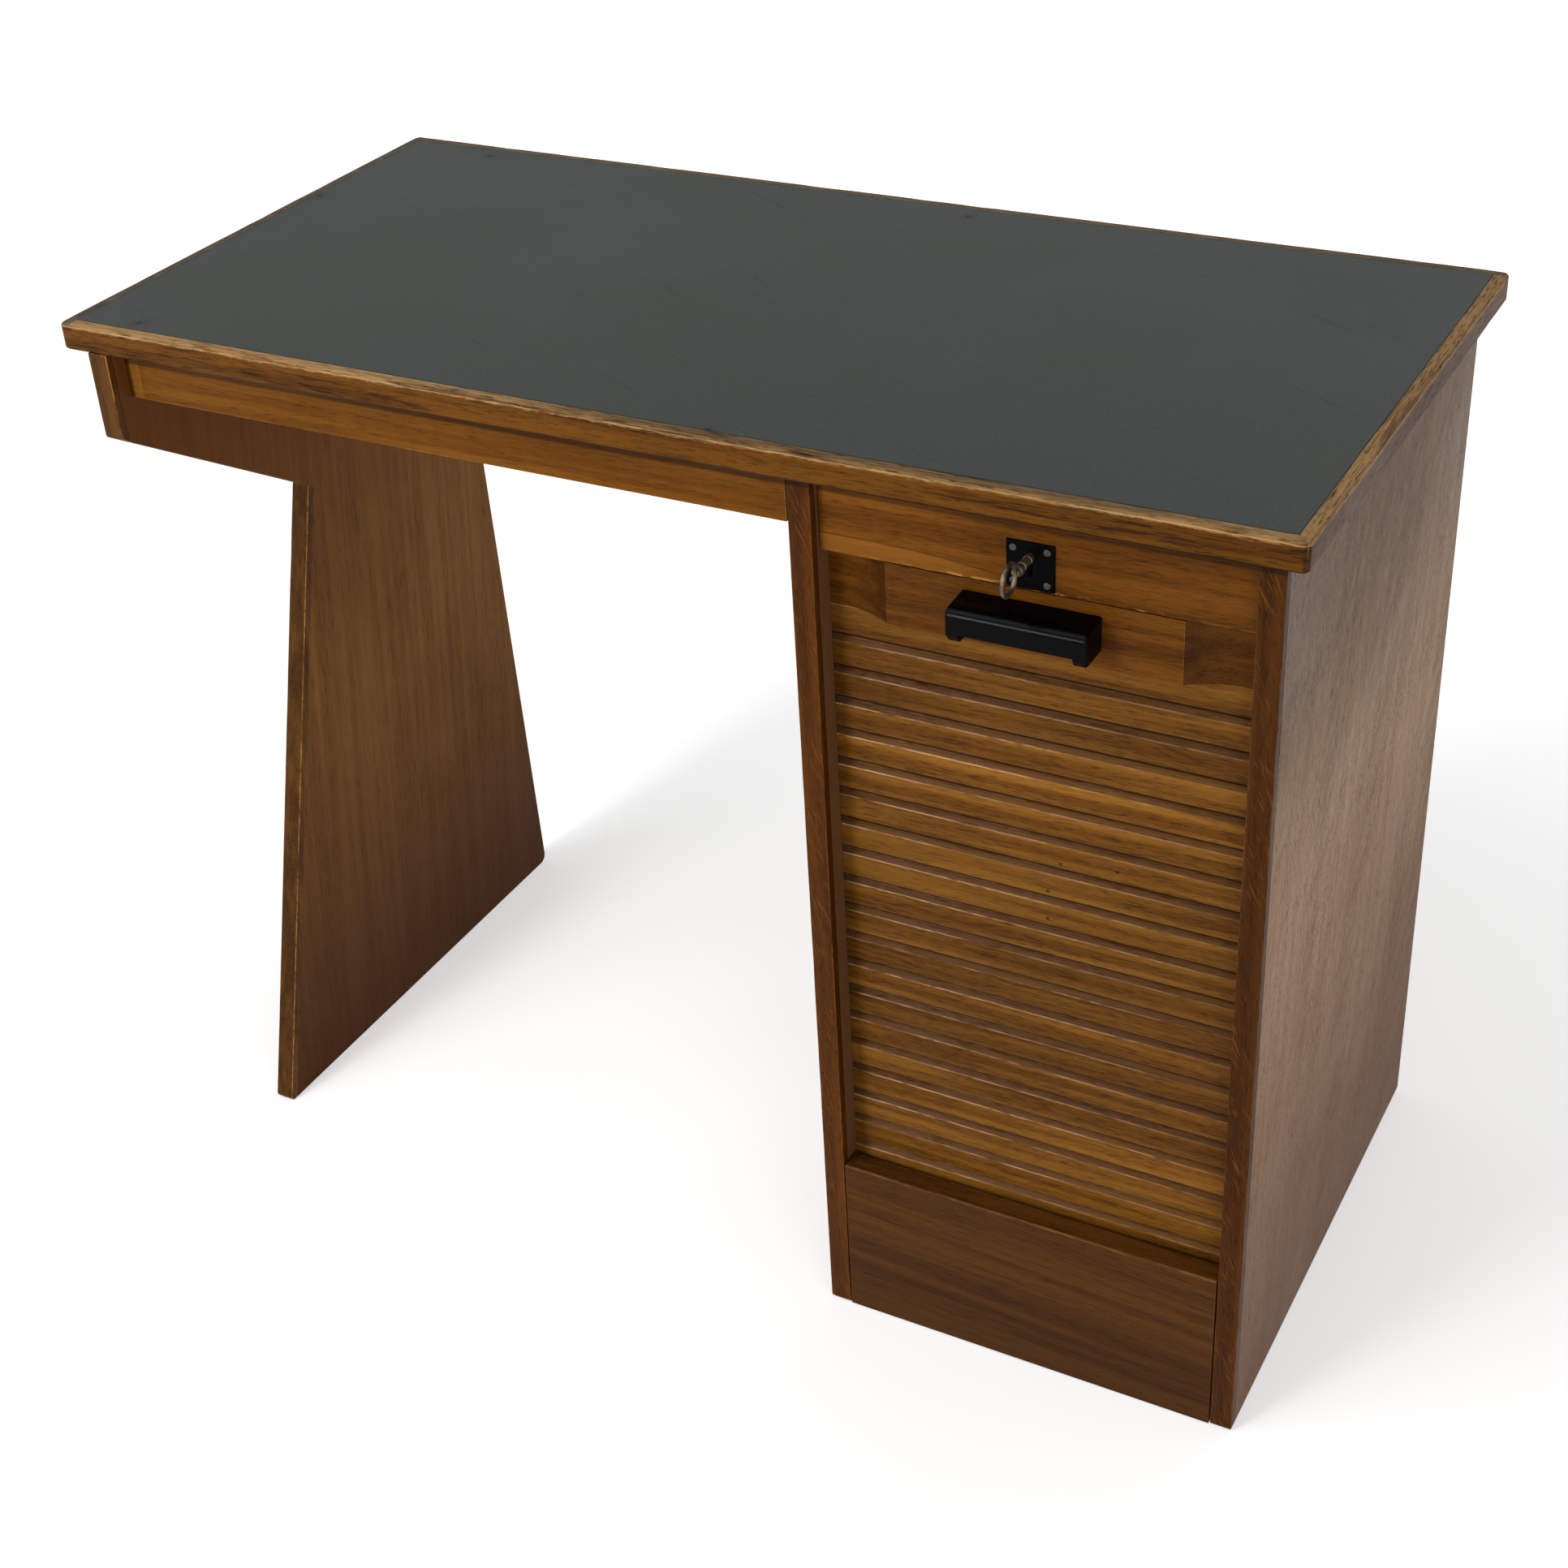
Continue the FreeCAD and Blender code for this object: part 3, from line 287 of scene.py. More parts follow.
def wood(name, axis, base, pale, raw, broad=0.5, lines=0.45, fibre=0.45, pores=0.35, stains=0.2, tilt=0.0,
         speckle=0.0, ripple=0.0, flecks=0.0, raw_top=0.0, wear=0.8, spec=0.06, rough=0.40, end_dark=0.35,
         open_pores=0.3, grain=(80, 900), extra=None):
    """Varnished oak with its grain along an axis, base to pale in colour, and raw where it is rubbed.

    Shares say how much each thing shows: broad bands, lines of growth, fibres, fine pores, stains, curly
    speckle, diagonal ripple, wear of the arrises (wear) and of the upper face (raw_top), dark end grain and
    open pores, of which grain gives the waves to a metre along and across. tilt is the grain's slope, and
    flecks the slope of its ray flecks. extra adds what is particular to a piece."""
    t = tree_of_material(name)
    shift = t.product(t.attribute("seed"), SEED_STEP)

    def layer(along, across, detail, roughness=0.5, more=0.0):
        """Noise with waves to a metre along and across the grain, turned from it by more."""
        scale = [across] * 3
        scale["xyz".index(axis)] = along
        turn = [0.0, 0.0, 0.0]
        turn[TILT_AXES[axis]] = tilt + more
        return t.noise(tuple(scale), detail, roughness, shift, tuple(turn))

    bands = layer(1.8, 15, 2)
    growth = layer(3.2, 110, 2)
    fibres = layer(30, 900, 2)
    pore = t.span(layer(95, 1400, 1), 0.55, 0.66)
    open_pore = t.product(t.span(layer(*grain, 1, 0.4), 0.54, 0.63), t.span(growth, 0.66, 0.42, 0.2, 1.0))
    cloud = t.noise(5, 3, 0.6, shift)
    stain = t.span(cloud, 0.42, 0.75, 1.0, 1.0 - stains)
    end_grain = t.span(t.maths("ABSOLUTE", t.normal(axis)), 0.10, 0.55)

    level = 1 - (broad + lines + fibre) / 2
    for wave, share in ((bands, broad), (growth, lines), (fibres, fibre)):
        level = t.maths("MULTIPLY_ADD", wave, share, level)
    level = t.product(level, t.less(pore, pores), t.attribute("tone"), t.less(open_pore, open_pores), stain,
                      t.less(end_grain, end_dark))
    curl = 0.0
    if speckle:
        thin = t.line(layer(150, 330, 2, 0.55), 0.5, 0.055)
        curl = t.product(thin, t.span(layer(9, 45, 2, 0.5, 0.7), 0.36, 0.62, 0.35, 1.0))
        level = t.product(level, t.less(curl, speckle))
    if ripple:
        slanted = t.span(layer(8, 85, 1, 0.5, 0.75), 0.42, 0.60)
        waves = t.product(slanted, t.span(bands, 0.62, 0.42, 0.3, 1.0))
        level = t.product(level, t.maths("MULTIPLY_ADD", waves, -ripple, 1.0 + ripple / 3))
    colour = t.times(t.mix(t.span(growth, 0.35, 0.68), base, pale), level)
    if flecks:
        rays = t.span(t.noise((900, 900, 75), 0, 0.3, shift, (0, flecks, 0)), 0.62, 0.70)
        patchy = t.span(t.noise((60, 60, 30), 1, 0.5, shift), 0.35, 0.60)
        colour = t.mix(t.product(rays, patchy, 0.6), colour, t.times(pale, 2.1))

    scuffs = t.maths("MULTIPLY_ADD", t.noise(14, 2, 0.6, shift), 0.6, layer(26, 320, 3, 0.65))
    rub = t.product(t.attribute("worn"), t.span(scuffs, 0.62, 0.90), wear)
    if raw_top:
        upper = t.span(t.normal("z"), 0.35, 0.9)
        rub = t.greater(rub, t.product(upper, t.span(scuffs, 0.60, 0.82, 0.12, 1.0), raw_top))
    colour = t.mix(rub, colour, t.times(raw, t.product(level, t.less(pore, 0.5))))
    if extra:
        colour = extra(t, colour)

    matt = t.maths("ADD", t.product(rub, 0.3), t.product(pore, 0.15))
    roughness = t.maths("ADD", t.span(cloud, 0.3, 0.7, rough - 0.05, rough + 0.07), matt)
    height = t.maths("SUBTRACT", t.product(fibres, 0.35), t.maths("ADD", pore, curl))
    return t.finish(Base_Color=colour, Roughness=roughness, Normal=t.bump(height, 0.3, 0.15 * MM),
                    Specular_IOR_Level=spec)


# What single pieces of wood show

DARK_MARK = srgb(26, 14, 6)
RAW_OAK = srgb(186, 146, 96)
EDGE_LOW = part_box("edge_front")[0]
INLAY_LOW, INLAY_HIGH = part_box("linoleum")


def slat_marks(t, colour):
    """Upper chamfers paler with dust and a painted sheen that thins towards the right, lower chamfers
    darkened as painted shade, and a few old holes.
    """
    rise = t.normal("z")
    streaks = t.span(t.noise((70, 300, 300), 2, 0.6), 0.34, 0.60, 0.2, 1.0)
    # dust and a painted sheen on the upward chamfers, less towards the right
    dust = t.product(t.span(rise, 0.45, 0.65), streaks, t.span(t.at("x"), 160 * MM, 440 * MM, 0.75, 0.4))
    colour = t.mix(dust, t.times(colour, t.span(rise, 0.45, 0.65, 1.0, 0.62)), srgb(94, 63, 40))
    # painted shade: the downward chamfers are darkened
    colour = t.times(colour, t.span(rise, -0.35, -0.65, 1.0, 0.28))
    holes = ((292.6, 478.5), (307.7, 462.4), (347.0, 478.6), (349.0, 467.2), (298.3, 437.4), (298.4, 413.9))
    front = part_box("slat_01")[0].y
    return t.mix(t.product(t.marks("y", front, holes, 1.3), 0.75), colour, DARK_MARK)


def shade_under_the_top(t, colour, depth):
    """Painted shade: wood that stands back under the top's edge is darkened near it, down to a depth under
    its lower face.
    """
    level = EDGE_LOW.z - depth
    return t.times(colour, t.span(t.at("z"), level - 2 * MM, level, 1.0, 0.4))


def edge_rub_and_shade(t, colour):
    """The varnish is gone from the upper corner of the top's edge, most of all at the front's left half.

    The edgings at the left and the back are dark and dull on top, and the downward faces of the edgings are
    darkened as painted shade."""
    rise, across, deep = t.normal("z"), t.at("x"), t.at("y")
    upper = t.span(rise, 0.5, 0.9)
    front = t.span(deep, INLAY_LOW.y + 5 * MM, INLAY_LOW.y + 0.5 * MM)
    back = t.span(deep, INLAY_HIGH.y - 1.5 * MM, INLAY_HIGH.y + 0.5 * MM)
    left = t.span(across, INLAY_LOW.x + 2 * MM, INLAY_LOW.x)
    # painted shade on the downward faces; the upper faces are a little darker too
    colour = t.times(colour, t.maths("MULTIPLY_ADD", upper, -0.24, t.span(rise, -0.1, -0.4, 1.0, 0.3)))

    bare = t.greater(t.span(across, -120 * MM, 30 * MM, 1.0, 0.45),
                     t.span(across, 320 * MM, 420 * MM, 0.0, 0.9))
    colour = t.times(colour, t.less(t.product(upper, front, t.less(bare, 1.0)), 1.0))
    patches = t.span(t.noise((45, 500, 500), 3, 0.65), 0.42, 0.62, 0.0, 0.42)
    colour = t.mix(t.product(upper, front, bare, patches), colour, RAW_OAK)

    dull = t.mix(t.span(t.noise(60, 3, 0.7), 0.4, 0.65), srgb(62, 59, 50), srgb(82, 77, 65))
    colour = t.mix(t.product(upper, t.greater(left, t.product(back, 0.8)), 0.88), colour, dull)

    chips = t.maths("MULTIPLY_ADD", t.noise((110, 110, 700), 4, 0.75), 7 * MM, -3.3 * MM)
    height = t.maths("ADD", t.at("z"), chips)
    corner = t.span(height, INLAY_HIGH.z - 3.8 * MM, INLAY_HIGH.z - 1.0 * MM)
    return t.mix(t.product(corner, t.span(rise, 0.5, 0.2), 0.7), colour, RAW_OAK)


def edging_shade_and_nails(t, colour):
    """Painted shade under the top, and three old nails low on the pedestal's left edging."""
    # painted shade under the top's edge
    colour = shade_under_the_top(t, colour, 12.1 * MM)
    nails = ((129.7, 313.9), (124.8, 234.1), (127.8, 203.3))
    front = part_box("side_left_edging")[0].y
    return t.mix(t.product(t.marks("y", front, nails, 0.9), 0.85), colour, DARK_MARK)


def side_sheen_and_marks(t, colour):
    """Painted sheen: the pedestal's right side is pale and greyish outside, browner towards the floor and
    darker towards the top, and brown on its other faces. It is also cut in two places.
    """
    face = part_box("side_right")[1].x
    outer = t.span(t.at("x"), face - 4.5 * MM, face - 1.5 * MM)
    height = t.at("z")
    brown = t.mix(0.12, srgb(92, 56, 27), colour)
    # painted sheen: browner low down, darker high up, and pale only on the outer face
    colour = t.mix(t.span(height, 460 * MM, 20 * MM, 0.0, 0.95), colour, brown)
    colour = t.mix(outer, brown, t.times(colour, t.span(height, 420 * MM, 700 * MM, 1.0, 0.46)))
    cuts = t.greater(t.scratch((97.2, 196.6), (229.8, 260.0), 1.1),
                     t.scratch((20.0, 250.0), (120.0, 420.0), 0.8))
    return t.mix(t.product(cuts, outer, 0.55), colour, DARK_MARK)


def leg_edge_painted_light(t, colour):
    """Painted light: the leg's edging is brightened on its inner side, the face that looks along +X."""
    return t.times(colour, t.span(t.normal("x"), 0.3, 0.7, 1.1, 1.6))


def leg_shade(t, colour):
    """The leg is darker near the floor and under the top."""
    height = t.at("z")
    colour = t.mix(t.span(height, 440 * MM, 680 * MM, 0.0, 0.8), colour, srgb(100, 55, 22))
    return t.mix(t.span(height, 380 * MM, 0, 0.0, 0.85), colour, srgb(66, 33, 9))


def plinth_shade(t, colour):
    """The plinth is darker along the floor."""
    return t.times(colour, t.span(t.at("z"), 125 * MM, 20 * MM, 1.12, 0.82))


def apron_end_and_shade(t, colour):
    """The front rail has a paler block at its left end, behind a thin joint, a painted shadow where it meets
    the leg, and painted shade under the top.
    """
    across = t.at("x")
    joint, block_end, leg = -424.2 * MM, -433.5 * MM, -435.0 * MM
    block = t.product(t.span(across, joint + 0.4 * MM, joint - 0.4 * MM), t.span(across, leg, block_end))
    colour = t.mix(t.product(block, 0.35), colour, srgb(140, 98, 44))
    # painted shadow: the rail is dark beside the leg
    colour = t.mix(t.span(across, block_end, leg, 0.0, 0.6), colour, srgb(54, 28, 8))
    # painted shade under the top's edge
    colour = shade_under_the_top(t, colour, 11.6 * MM)
    return t.mix(t.product(t.line(across, joint, 0.7 * MM), 0.4), colour, DARK_MARK)


def fascia_sweep(t, colour):
    """A pale sweep of the grain that falls to the lower edge under the lock, chips along that edge, a
    darkening towards the right, painted shade under the top, and painted shade inside the lock's hole.
    """
    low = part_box("fascia")[0]
    run = t.greater(t.maths("SUBTRACT", t.at("x"), 175 * MM), 0.0)
    curve = t.maths("MULTIPLY_ADD", t.product(run, run), -0.78, 690.5 * MM)
    under = t.maths("SUBTRACT", curve, t.at("z"))
    band = t.product(t.span(under, -0.4 * MM, 1.2 * MM), t.span(run, 120 * MM, 60 * MM), 0.42)
    colour = t.mix(band, colour, srgb(142, 90, 28))

    chips = t.span(t.noise((90, 200, 300), 2, 0.6), 0.50, 0.58)
    lower_edge = t.span(t.at("z"), low.z + 3.5 * MM, low.z + 1.0 * MM)
    lock = t.span(t.away(run, 120 * MM), 110 * MM, 30 * MM, 0.15, 1.0)
    colour = t.mix(t.product(lower_edge, chips, lock), colour, srgb(176, 122, 62))
    # darker towards the right, and painted shade under the top's edge
    colour = shade_under_the_top(t, t.times(colour, t.span(run, 0, 250 * MM, 1.1, 0.84)), 17.6 * MM)

    # painted shade: the inside of the lock's hole is nearly black
    behind = t.span(t.at("y"), low.y + 0.1 * MM, low.y + 0.3 * MM)
    hole_shade = t.product(t.marks("y", -185 * MM, ((290.75, 699.0),), 15.0, 0.2), behind)
    colour = t.mix(hole_shade, colour, srgb(8, 6, 5))
    sweep_edge = t.product(t.line(under, 0.0, 1.1 * MM), t.span(run, 160 * MM, 80 * MM), 0.35)
    return t.mix(sweep_edge, colour, DARK_MARK)


# Colours, as they are seen in the photograph's light

EDGING = dict(base=srgb(82, 46, 5), pale=srgb(104, 63, 12), raw=RAW_OAK, raw_top=0.85, wear=0.9, pores=0.45,
              open_pores=0.6, grain=(38, 640), extra=edge_rub_and_shade)
INNER = dict(base=srgb(128, 96, 60), pale=srgb(150, 118, 78), raw=srgb(190, 160, 120), rough=0.6, broad=0.3,
             lines=0.3, fibre=0.3, end_dark=0.2)
materials = {
    "edging_x": wood("edging_oak", "x", **EDGING),
    "edging_y": wood("edging_oak_y", "y", **EDGING),
    "leg_edging": wood("leg_edging_oak", "z", srgb(72, 43, 13), srgb(88, 56, 19), srgb(158, 110, 56),
                       wear=0.9, broad=0.3, extra=leg_edge_painted_light),
    "side_edging": wood("side_edging_oak", "z", srgb(62, 31, 3), srgb(76, 41, 7), srgb(120, 72, 34),
                        broad=0.3, lines=0.3, fibre=0.3, flecks=0.4, wear=0.5, extra=edging_shade_and_nails),
    "leg_board": wood("leg_board_oak", "z", srgb(125, 83, 39), srgb(139, 95, 47), srgb(130, 96, 62),
                      broad=0.14, lines=0.08, fibre=0.10, pores=0.2, stains=0.25, tilt=0.11, wear=0.4,
                      rough=0.46, open_pores=0.25, grain=(60, 700), extra=leg_shade),
    # The side board's pale greyish colours are partly a painted sheen on the right side's outer face.
    "side_board": wood("side_board_oak", "z", srgb(152, 117, 84), srgb(164, 129, 96), srgb(150, 122, 94),
                       broad=0.12, lines=0.04, fibre=0.10, stains=0.12, speckle=0.5, ripple=0.22, tilt=0.05,
                       wear=0.4, open_pores=0.12, spec=0.14, rough=0.5, extra=side_sheen_and_marks),
    "apron": wood("apron_oak", "x", srgb(100, 57, 7), srgb(115, 70, 13), RAW_OAK, broad=0.6, lines=0.25,
                  fibre=0.3, wear=0.3, open_pores=0.15, extra=apron_end_and_shade),
    "fascia": wood("fascia_oak", "x", srgb(94, 52, 5), srgb(112, 66, 13), RAW_OAK, wear=0.9,
                   extra=fascia_sweep),
    "oak_rail": wood("rail_oak", "x", srgb(84, 46, 5), srgb(102, 60, 11), srgb(176, 126, 76), wear=0.5,
                     end_dark=0.45),
    "oak_slat": wood("slat_oak", "x", srgb(94, 56, 13), srgb(121, 79, 26), srgb(176, 134, 100), wear=0.9,
                     lines=0.55, open_pores=0.4, extra=slat_marks),
    "oak_plinth": wood("plinth_oak", "x", srgb(69, 39, 9), srgb(83, 49, 15), srgb(130, 92, 56), tilt=-0.05,
                       broad=0.15, lines=0.08, fibre=0.4, pores=0.3, wear=0.4, open_pores=0.35,
                       grain=(45, 1100), extra=plinth_shade),
    "inner_wood": wood("inner_wood", "y", **INNER),
    "shelf_wood": wood("shelf_wood", "x", **INNER),
    "back_wood": wood("back_wood", "z", **INNER),
    "core_board": wood("core_wood", "x", srgb(132, 102, 66), srgb(156, 126, 86), srgb(190, 160, 120),
                       rough=0.7),
}


def linoleum():
    """Matt grey-green linoleum with fine grit, a few scratches, tack heads in hollows and a dark border."""
    t = tree_of_material("linoleum")
    cloud, drift = t.noise(5, 4, 0.6), t.noise((1.6, 2.6, 1), 2)
    grit = t.noise(420, 3, 0.7)
    scratches = t.span(t.noise((9, 520, 1), 2, 0.6, turn=(0, 0, 0.5)), 0.64, 0.72)
    colour = t.mix(t.span(cloud, 0.35, 0.65), srgb(57, 62, 59), srgb(61, 66, 62))
    colour = t.mix(t.product(t.span(drift, 0.4, 0.7), 0.5), colour, srgb(63, 69, 65))
    colour = t.mix(t.product(t.span(grit, 0.5, 0.7), 0.22), colour, srgb(80, 87, 83))
    colour = t.mix(t.product(t.span(grit, 0.5, 0.32), 0.25), colour, srgb(50, 53, 51))

    tacks = ((-417.8, -200.0), (-383.9, 213.2), (71.7, -211.1), (64.9, 212.6), (-463.0, 77.8))
    hollows, heads = (t.marks("z", INLAY_HIGH.z, tacks, *size) for size in ((8.0, 0.9), (2.4,)))
    colour = t.mix(t.product(hollows, 0.35), colour, srgb(34, 38, 35))
    colour = t.mix(t.product(heads, 0.85), colour, srgb(14, 14, 13))

    middle, half = (INLAY_LOW + INLAY_HIGH) / 2, (INLAY_HIGH - INLAY_LOW) / 2
    border = 0.0
    for n, axis in enumerate("xy"):
        rim = t.span(t.away(t.at(axis), middle[n]), half[n] - 1.4 * MM, half[n] - 0.4 * MM)
        border = t.greater(border, rim)
    colour = t.mix(t.product(border, 0.7), colour, srgb(30, 24, 16))
    roughness = t.maths("ADD", t.span(cloud, 0.3, 0.7, 0.42, 0.52), t.product(scratches, 0.12))
    return t.finish(Base_Color=colour, Roughness=roughness, Normal=t.bump(grit, 0.12, 0.1 * MM),
                    Specular_IOR_Level=0.05)


def metal(name, colour, tarnish, rough, amount):
    """Old metal, with an amount of tarnish in clouds."""
    t = tree_of_material(name)
    cloud, speck = t.noise(180, 4, 0.65), t.noise(900, 2)
    shade = t.mix(t.product(t.span(cloud, 0.38, 0.62), amount), colour, tarnish)
    return t.finish(Base_Color=shade, Metallic=0.7, Normal=t.bump(speck, 0.2, 0.08 * MM),
                    Roughness=t.span(speck, 0.3, 0.7, rough - 0.08, rough + 0.12))


def black(name, colour, rough, dust, spec):
    """A gloss black with specks of dust."""
    t = tree_of_material(name)
    speck, haze = t.noise(700, 3, 0.6), t.noise(60, 3, 0.6)
    shade = t.mix(t.product(t.span(speck, 0.62, 0.74), dust), colour, srgb(96, 92, 86))
    return t.finish(Base_Color=shade, Roughness=t.span(haze, 0.3, 0.7, rough, rough + 0.1),
                    Normal=t.bump(haze, 0.06, 0.2 * MM), Specular_IOR_Level=spec)


def canvas():
    """Unbleached cloth with a fine weave."""
    t = tree_of_material("canvas")
    weave = t.add("TexChecker", Vector=t.scaled(1400), Scale=1.0).outputs["Fac"]
    shade = t.mix(t.span(t.noise(40, 3, 0.6), 0.3, 0.7), srgb(104, 90, 64), srgb(124, 110, 80))
    shade = t.mix(t.product(weave, 0.25), shade, srgb(76, 64, 44))
    return t.finish(Base_Color=shade, Roughness=0.9, Normal=t.bump(weave, 0.4, 0.2 * MM))


materials["linoleum"] = linoleum()
materials["steel"] = metal("dull_steel", srgb(80, 76, 71), srgb(42, 38, 34), rough=0.46, amount=0.6)
materials["key_metal"] = metal("key_metal", srgb(126, 112, 92), srgb(62, 50, 38), rough=0.38, amount=0.85)
materials["black_enamel"] = black("black_enamel", srgb(5, 5, 5), rough=0.30, dust=0.12, spec=0.02)
materials["black_handle"] = black("black_moulding", srgb(3, 3, 4), rough=0.15, dust=0.03, spec=0.045)
materials["canvas"] = canvas()

# Nodes that don't take the material of their slot
OWN_MATERIALS = {
    "edging_x": "edge_front edge_back",
    "edging_y": "edge_left edge_right",
    "leg_edging": "leg_arm_edging leg_front_edging",
    "side_edging": "side_left_edging side_right_edging",
    "leg_board": "leg_panel",
    "side_board": "side_left side_right",
    "apron": "apron_front apron_back",
    "fascia": "fascia",
    "shelf_wood": "shelf_lower shelf_upper bottom_board",
    "back_wood": "back_panel",
}
own_material = {node: name for name, nodes in OWN_MATERIALS.items() for node in nodes.split()}


# Pieces made from the CAD's own outlines, with soft and worn arrises

ROUNDING_STEPS = 2
SMOOTH_BELOW = math.radians(38)
DENTS_PER_METRE, SMALLEST_DENT = 90, 0.1


def dress(mesh, node, seed, tone):
    """Gives a mesh its node's material, and the numbers that the material reads from it."""
    mesh.materials.clear()
    mesh.materials.append(materials[own_material.get(node, slot_of[node])])
    for name, value in (("seed", seed), ("tone", tone)):
        layer = mesh.attributes.get(name) or mesh.attributes.new(name, "FLOAT", "POINT")
        for item in layer.data:
            item.value = value


def register(obj, node):
    """Lets an object stand for a node."""
    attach(obj, body_of[node])
    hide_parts(node)
    return obj


def carried(node, seed=0.0, tone=1.0):
    """A CAD node that stays, with a finished material."""
    dress(frame["nodes"][node].data, node, seed, tone)


def finished(bm, node, seed=0.0, tone=1.0):
    """A piece from an edited mesh, smooth between its sharp edges, that stands for a node."""
    mesh = meshed(bm, node + "_shape")
    for polygon in mesh.polygons:
        polygon.use_smooth = True
    mesh.set_sharp_from_angle(angle=SMOOTH_BELOW)
    dress(mesh, node, seed, tone)
    obj = linked(node + "_piece", mesh)
    smooth = obj.modifiers.new("even", "WEIGHTED_NORMAL")
    smooth.keep_sharp = True
    return register(obj, node)


def cut_across(bm, axis, low, high, step):
    """Rings of vertices along a piece, so that its edges can be uneven."""
    count = max(1, round((high - low) / step))
    direction = Vector([1.0 if name == axis else 0.0 for name in "xyz"])
    for n in range(1, count):
        where = direction * (low + (high - low) * n / count)
        bmesh.ops.bisect_plane(bm, geom=bm.verts[:] + bm.edges[:] + bm.faces[:], plane_co=where,
                               plane_no=direction)


def dent(bm, faces, depth, seed):
    """Pushes the vertices of the rounded edges in, here and there, by up to about a depth."""
    bm.normal_update()
    for vert in {vert for face in faces for vert in face.verts}:
        deep = noise.noise(vert.co * DENTS_PER_METRE + Vector((seed, seed, seed)) * 3)
        vert.co -= vert.normal * max(0.0, deep - SMALLEST_DENT) * depth


def softened(node, width, axis=None, step=0.02, dents=0.0, seed=0.0, tone=1.0, angle=25, wear_at=None):
    """A copy of a node's shape that replaces it, with the edges sharper than an angle rounded by a width.

    With an axis, it is cut across it at each step. wear_at tells how worn an edge is at a place."""
    bm = bmesh.new()
    bm.from_mesh(frame["nodes"][node].data)
    worn = bm.loops.layers.float.new("worn")
    bmesh.ops.remove_doubles(bm, verts=bm.verts, dist=1e-6)
    bmesh.ops.dissolve_limit(bm, angle_limit=math.radians(0.3), verts=bm.verts, edges=bm.edges)
    if axis:
        low, high = (corner["xyz".index(axis)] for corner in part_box(node))
        cut_across(bm, axis, low, high, step)
    sharp = [edge for edge in bm.edges if edge.is_manifold and edge.calc_face_angle(0) > math.radians(angle)]
    made = bmesh.ops.bevel(bm, geom=sharp, offset=width, offset_type="OFFSET", segments=ROUNDING_STEPS,
                           profile=0.5, affect="EDGES", clamp_overlap=True)
    for loop in (loop for face in made["faces"] for loop in face.loops):
        loop[worn] = wear_at(loop.vert.co) if wear_at else 1.0
    if dents:
        dent(bm, made["faces"], dents, seed)
    return finished(bm, node, seed, tone)


LEFT_WEAR_AND_GLINT, LOWER_WEAR = 1.3, 0.12


def upper_wear_and_glint(node, right_wear_and_glint=1.0):
    """Wear along the upper edges of a node, less towards the right, and little along the lower ones. On the
    slats, the pale upper arrises that fade to the right are also a painted highlight.
    """
    low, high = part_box(node)
    middle = (low.z + high.z) / 2

    def wear(place):
        run = (place.x - low.x) / (high.x - low.x)
        return LEFT_WEAR_AND_GLINT + (right_wear_and_glint - LEFT_WEAR_AND_GLINT) * run if place.z > middle else LOWER_WEAR
    return wear


def fascia_wear():
    """The fixed rail is rubbed bare along its lower edge, beside the lock."""
    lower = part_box("fascia")[0].z + 4 * MM

    def wear(place):
        near = max(0.0, 1 - abs(place.x - 305 * MM) / (60 * MM))
        return 0.25 + 1.6 * near if place.z < lower else 0.15
    return wear


draw = random.Random(11)
for number, node in enumerate(("edge_front", "edge_back", "edge_left", "edge_right")):
    softened(node, 0.9 * MM, "x" if number < 2 else "y", 16 * MM, dents=0.6 * MM, seed=1.3 + number,
             angle=12, wear_at=upper_wear_and_glint(node))
softened("leg_panel", 0.5 * MM, seed=5.1)
for number, node in enumerate(("side_left", "side_right")):
    carried(node, seed=6.1 + number)
edging_tones = {"leg_arm_edging": 1, "leg_front_edging": 1, "side_left_edging": 1.3, "side_right_edging": 1}
for number, (node, tone) in enumerate(edging_tones.items()):
    softened(node, 0.7 * MM, "z", 20 * MM, dents=0.4 * MM, seed=9.2 + number, tone=tone)
for number, node in enumerate(("apron_front", "apron_back", "pull_rail")):
    softened(node, 0.7 * MM, seed=14.7 + number * 1.7)
softened("fascia", 0.8 * MM, "x", 12 * MM, dents=0.5 * MM, seed=19.8, wear_at=fascia_wear())
softened("plinth", 0.8 * MM, seed=21.4)
softened("lock_plate", 0.3 * MM)
softened("handle", 0.5 * MM)
for node in ("shelf_lower", "shelf_upper", "bottom_board", "back_panel", "top_core", "shelf_strips",
             "glue_blocks", "linoleum", "lock_case", "hook_lever", "handle_screws", "keeper",
             "keeper_screws"):
    carried(node, seed=draw.uniform(30, 60))


# The key and the slotted screws of its plate

ACROSS, DEEP, UP = Vector((1, 0, 0)), Vector((0, 1, 0)), Vector((0, 0, 1))


def full_turn(count):
    """Angles, evenly all the way round."""
    return [2 * math.pi * n / count for n in range(count)]


def ring_points(bm, centre, out, up, first, second, count):
    """A ring of vertices about a centre, first wide along out and second along up."""
    return [bm.verts.new(centre + out * (first * math.cos(turn)) + up * (second * math.sin(turn)))
            for turn in full_turn(count)]


def skin(bm, rings, closed=False):
    """Faces between rings of vertices, which go round to the first ring or are capped at both ends."""
    following = rings[1:] + rings[:1] if closed else rings[1:]
    for a, b in zip(rings, following):
        for n in range(len(a)):
            m = (n + 1) % len(a)
            bm.faces.new((a[n], a[m], b[m], b[n]))
    if not closed:
        bm.faces.new(reversed(rings[0]))
        bm.faces.new(rings[-1])


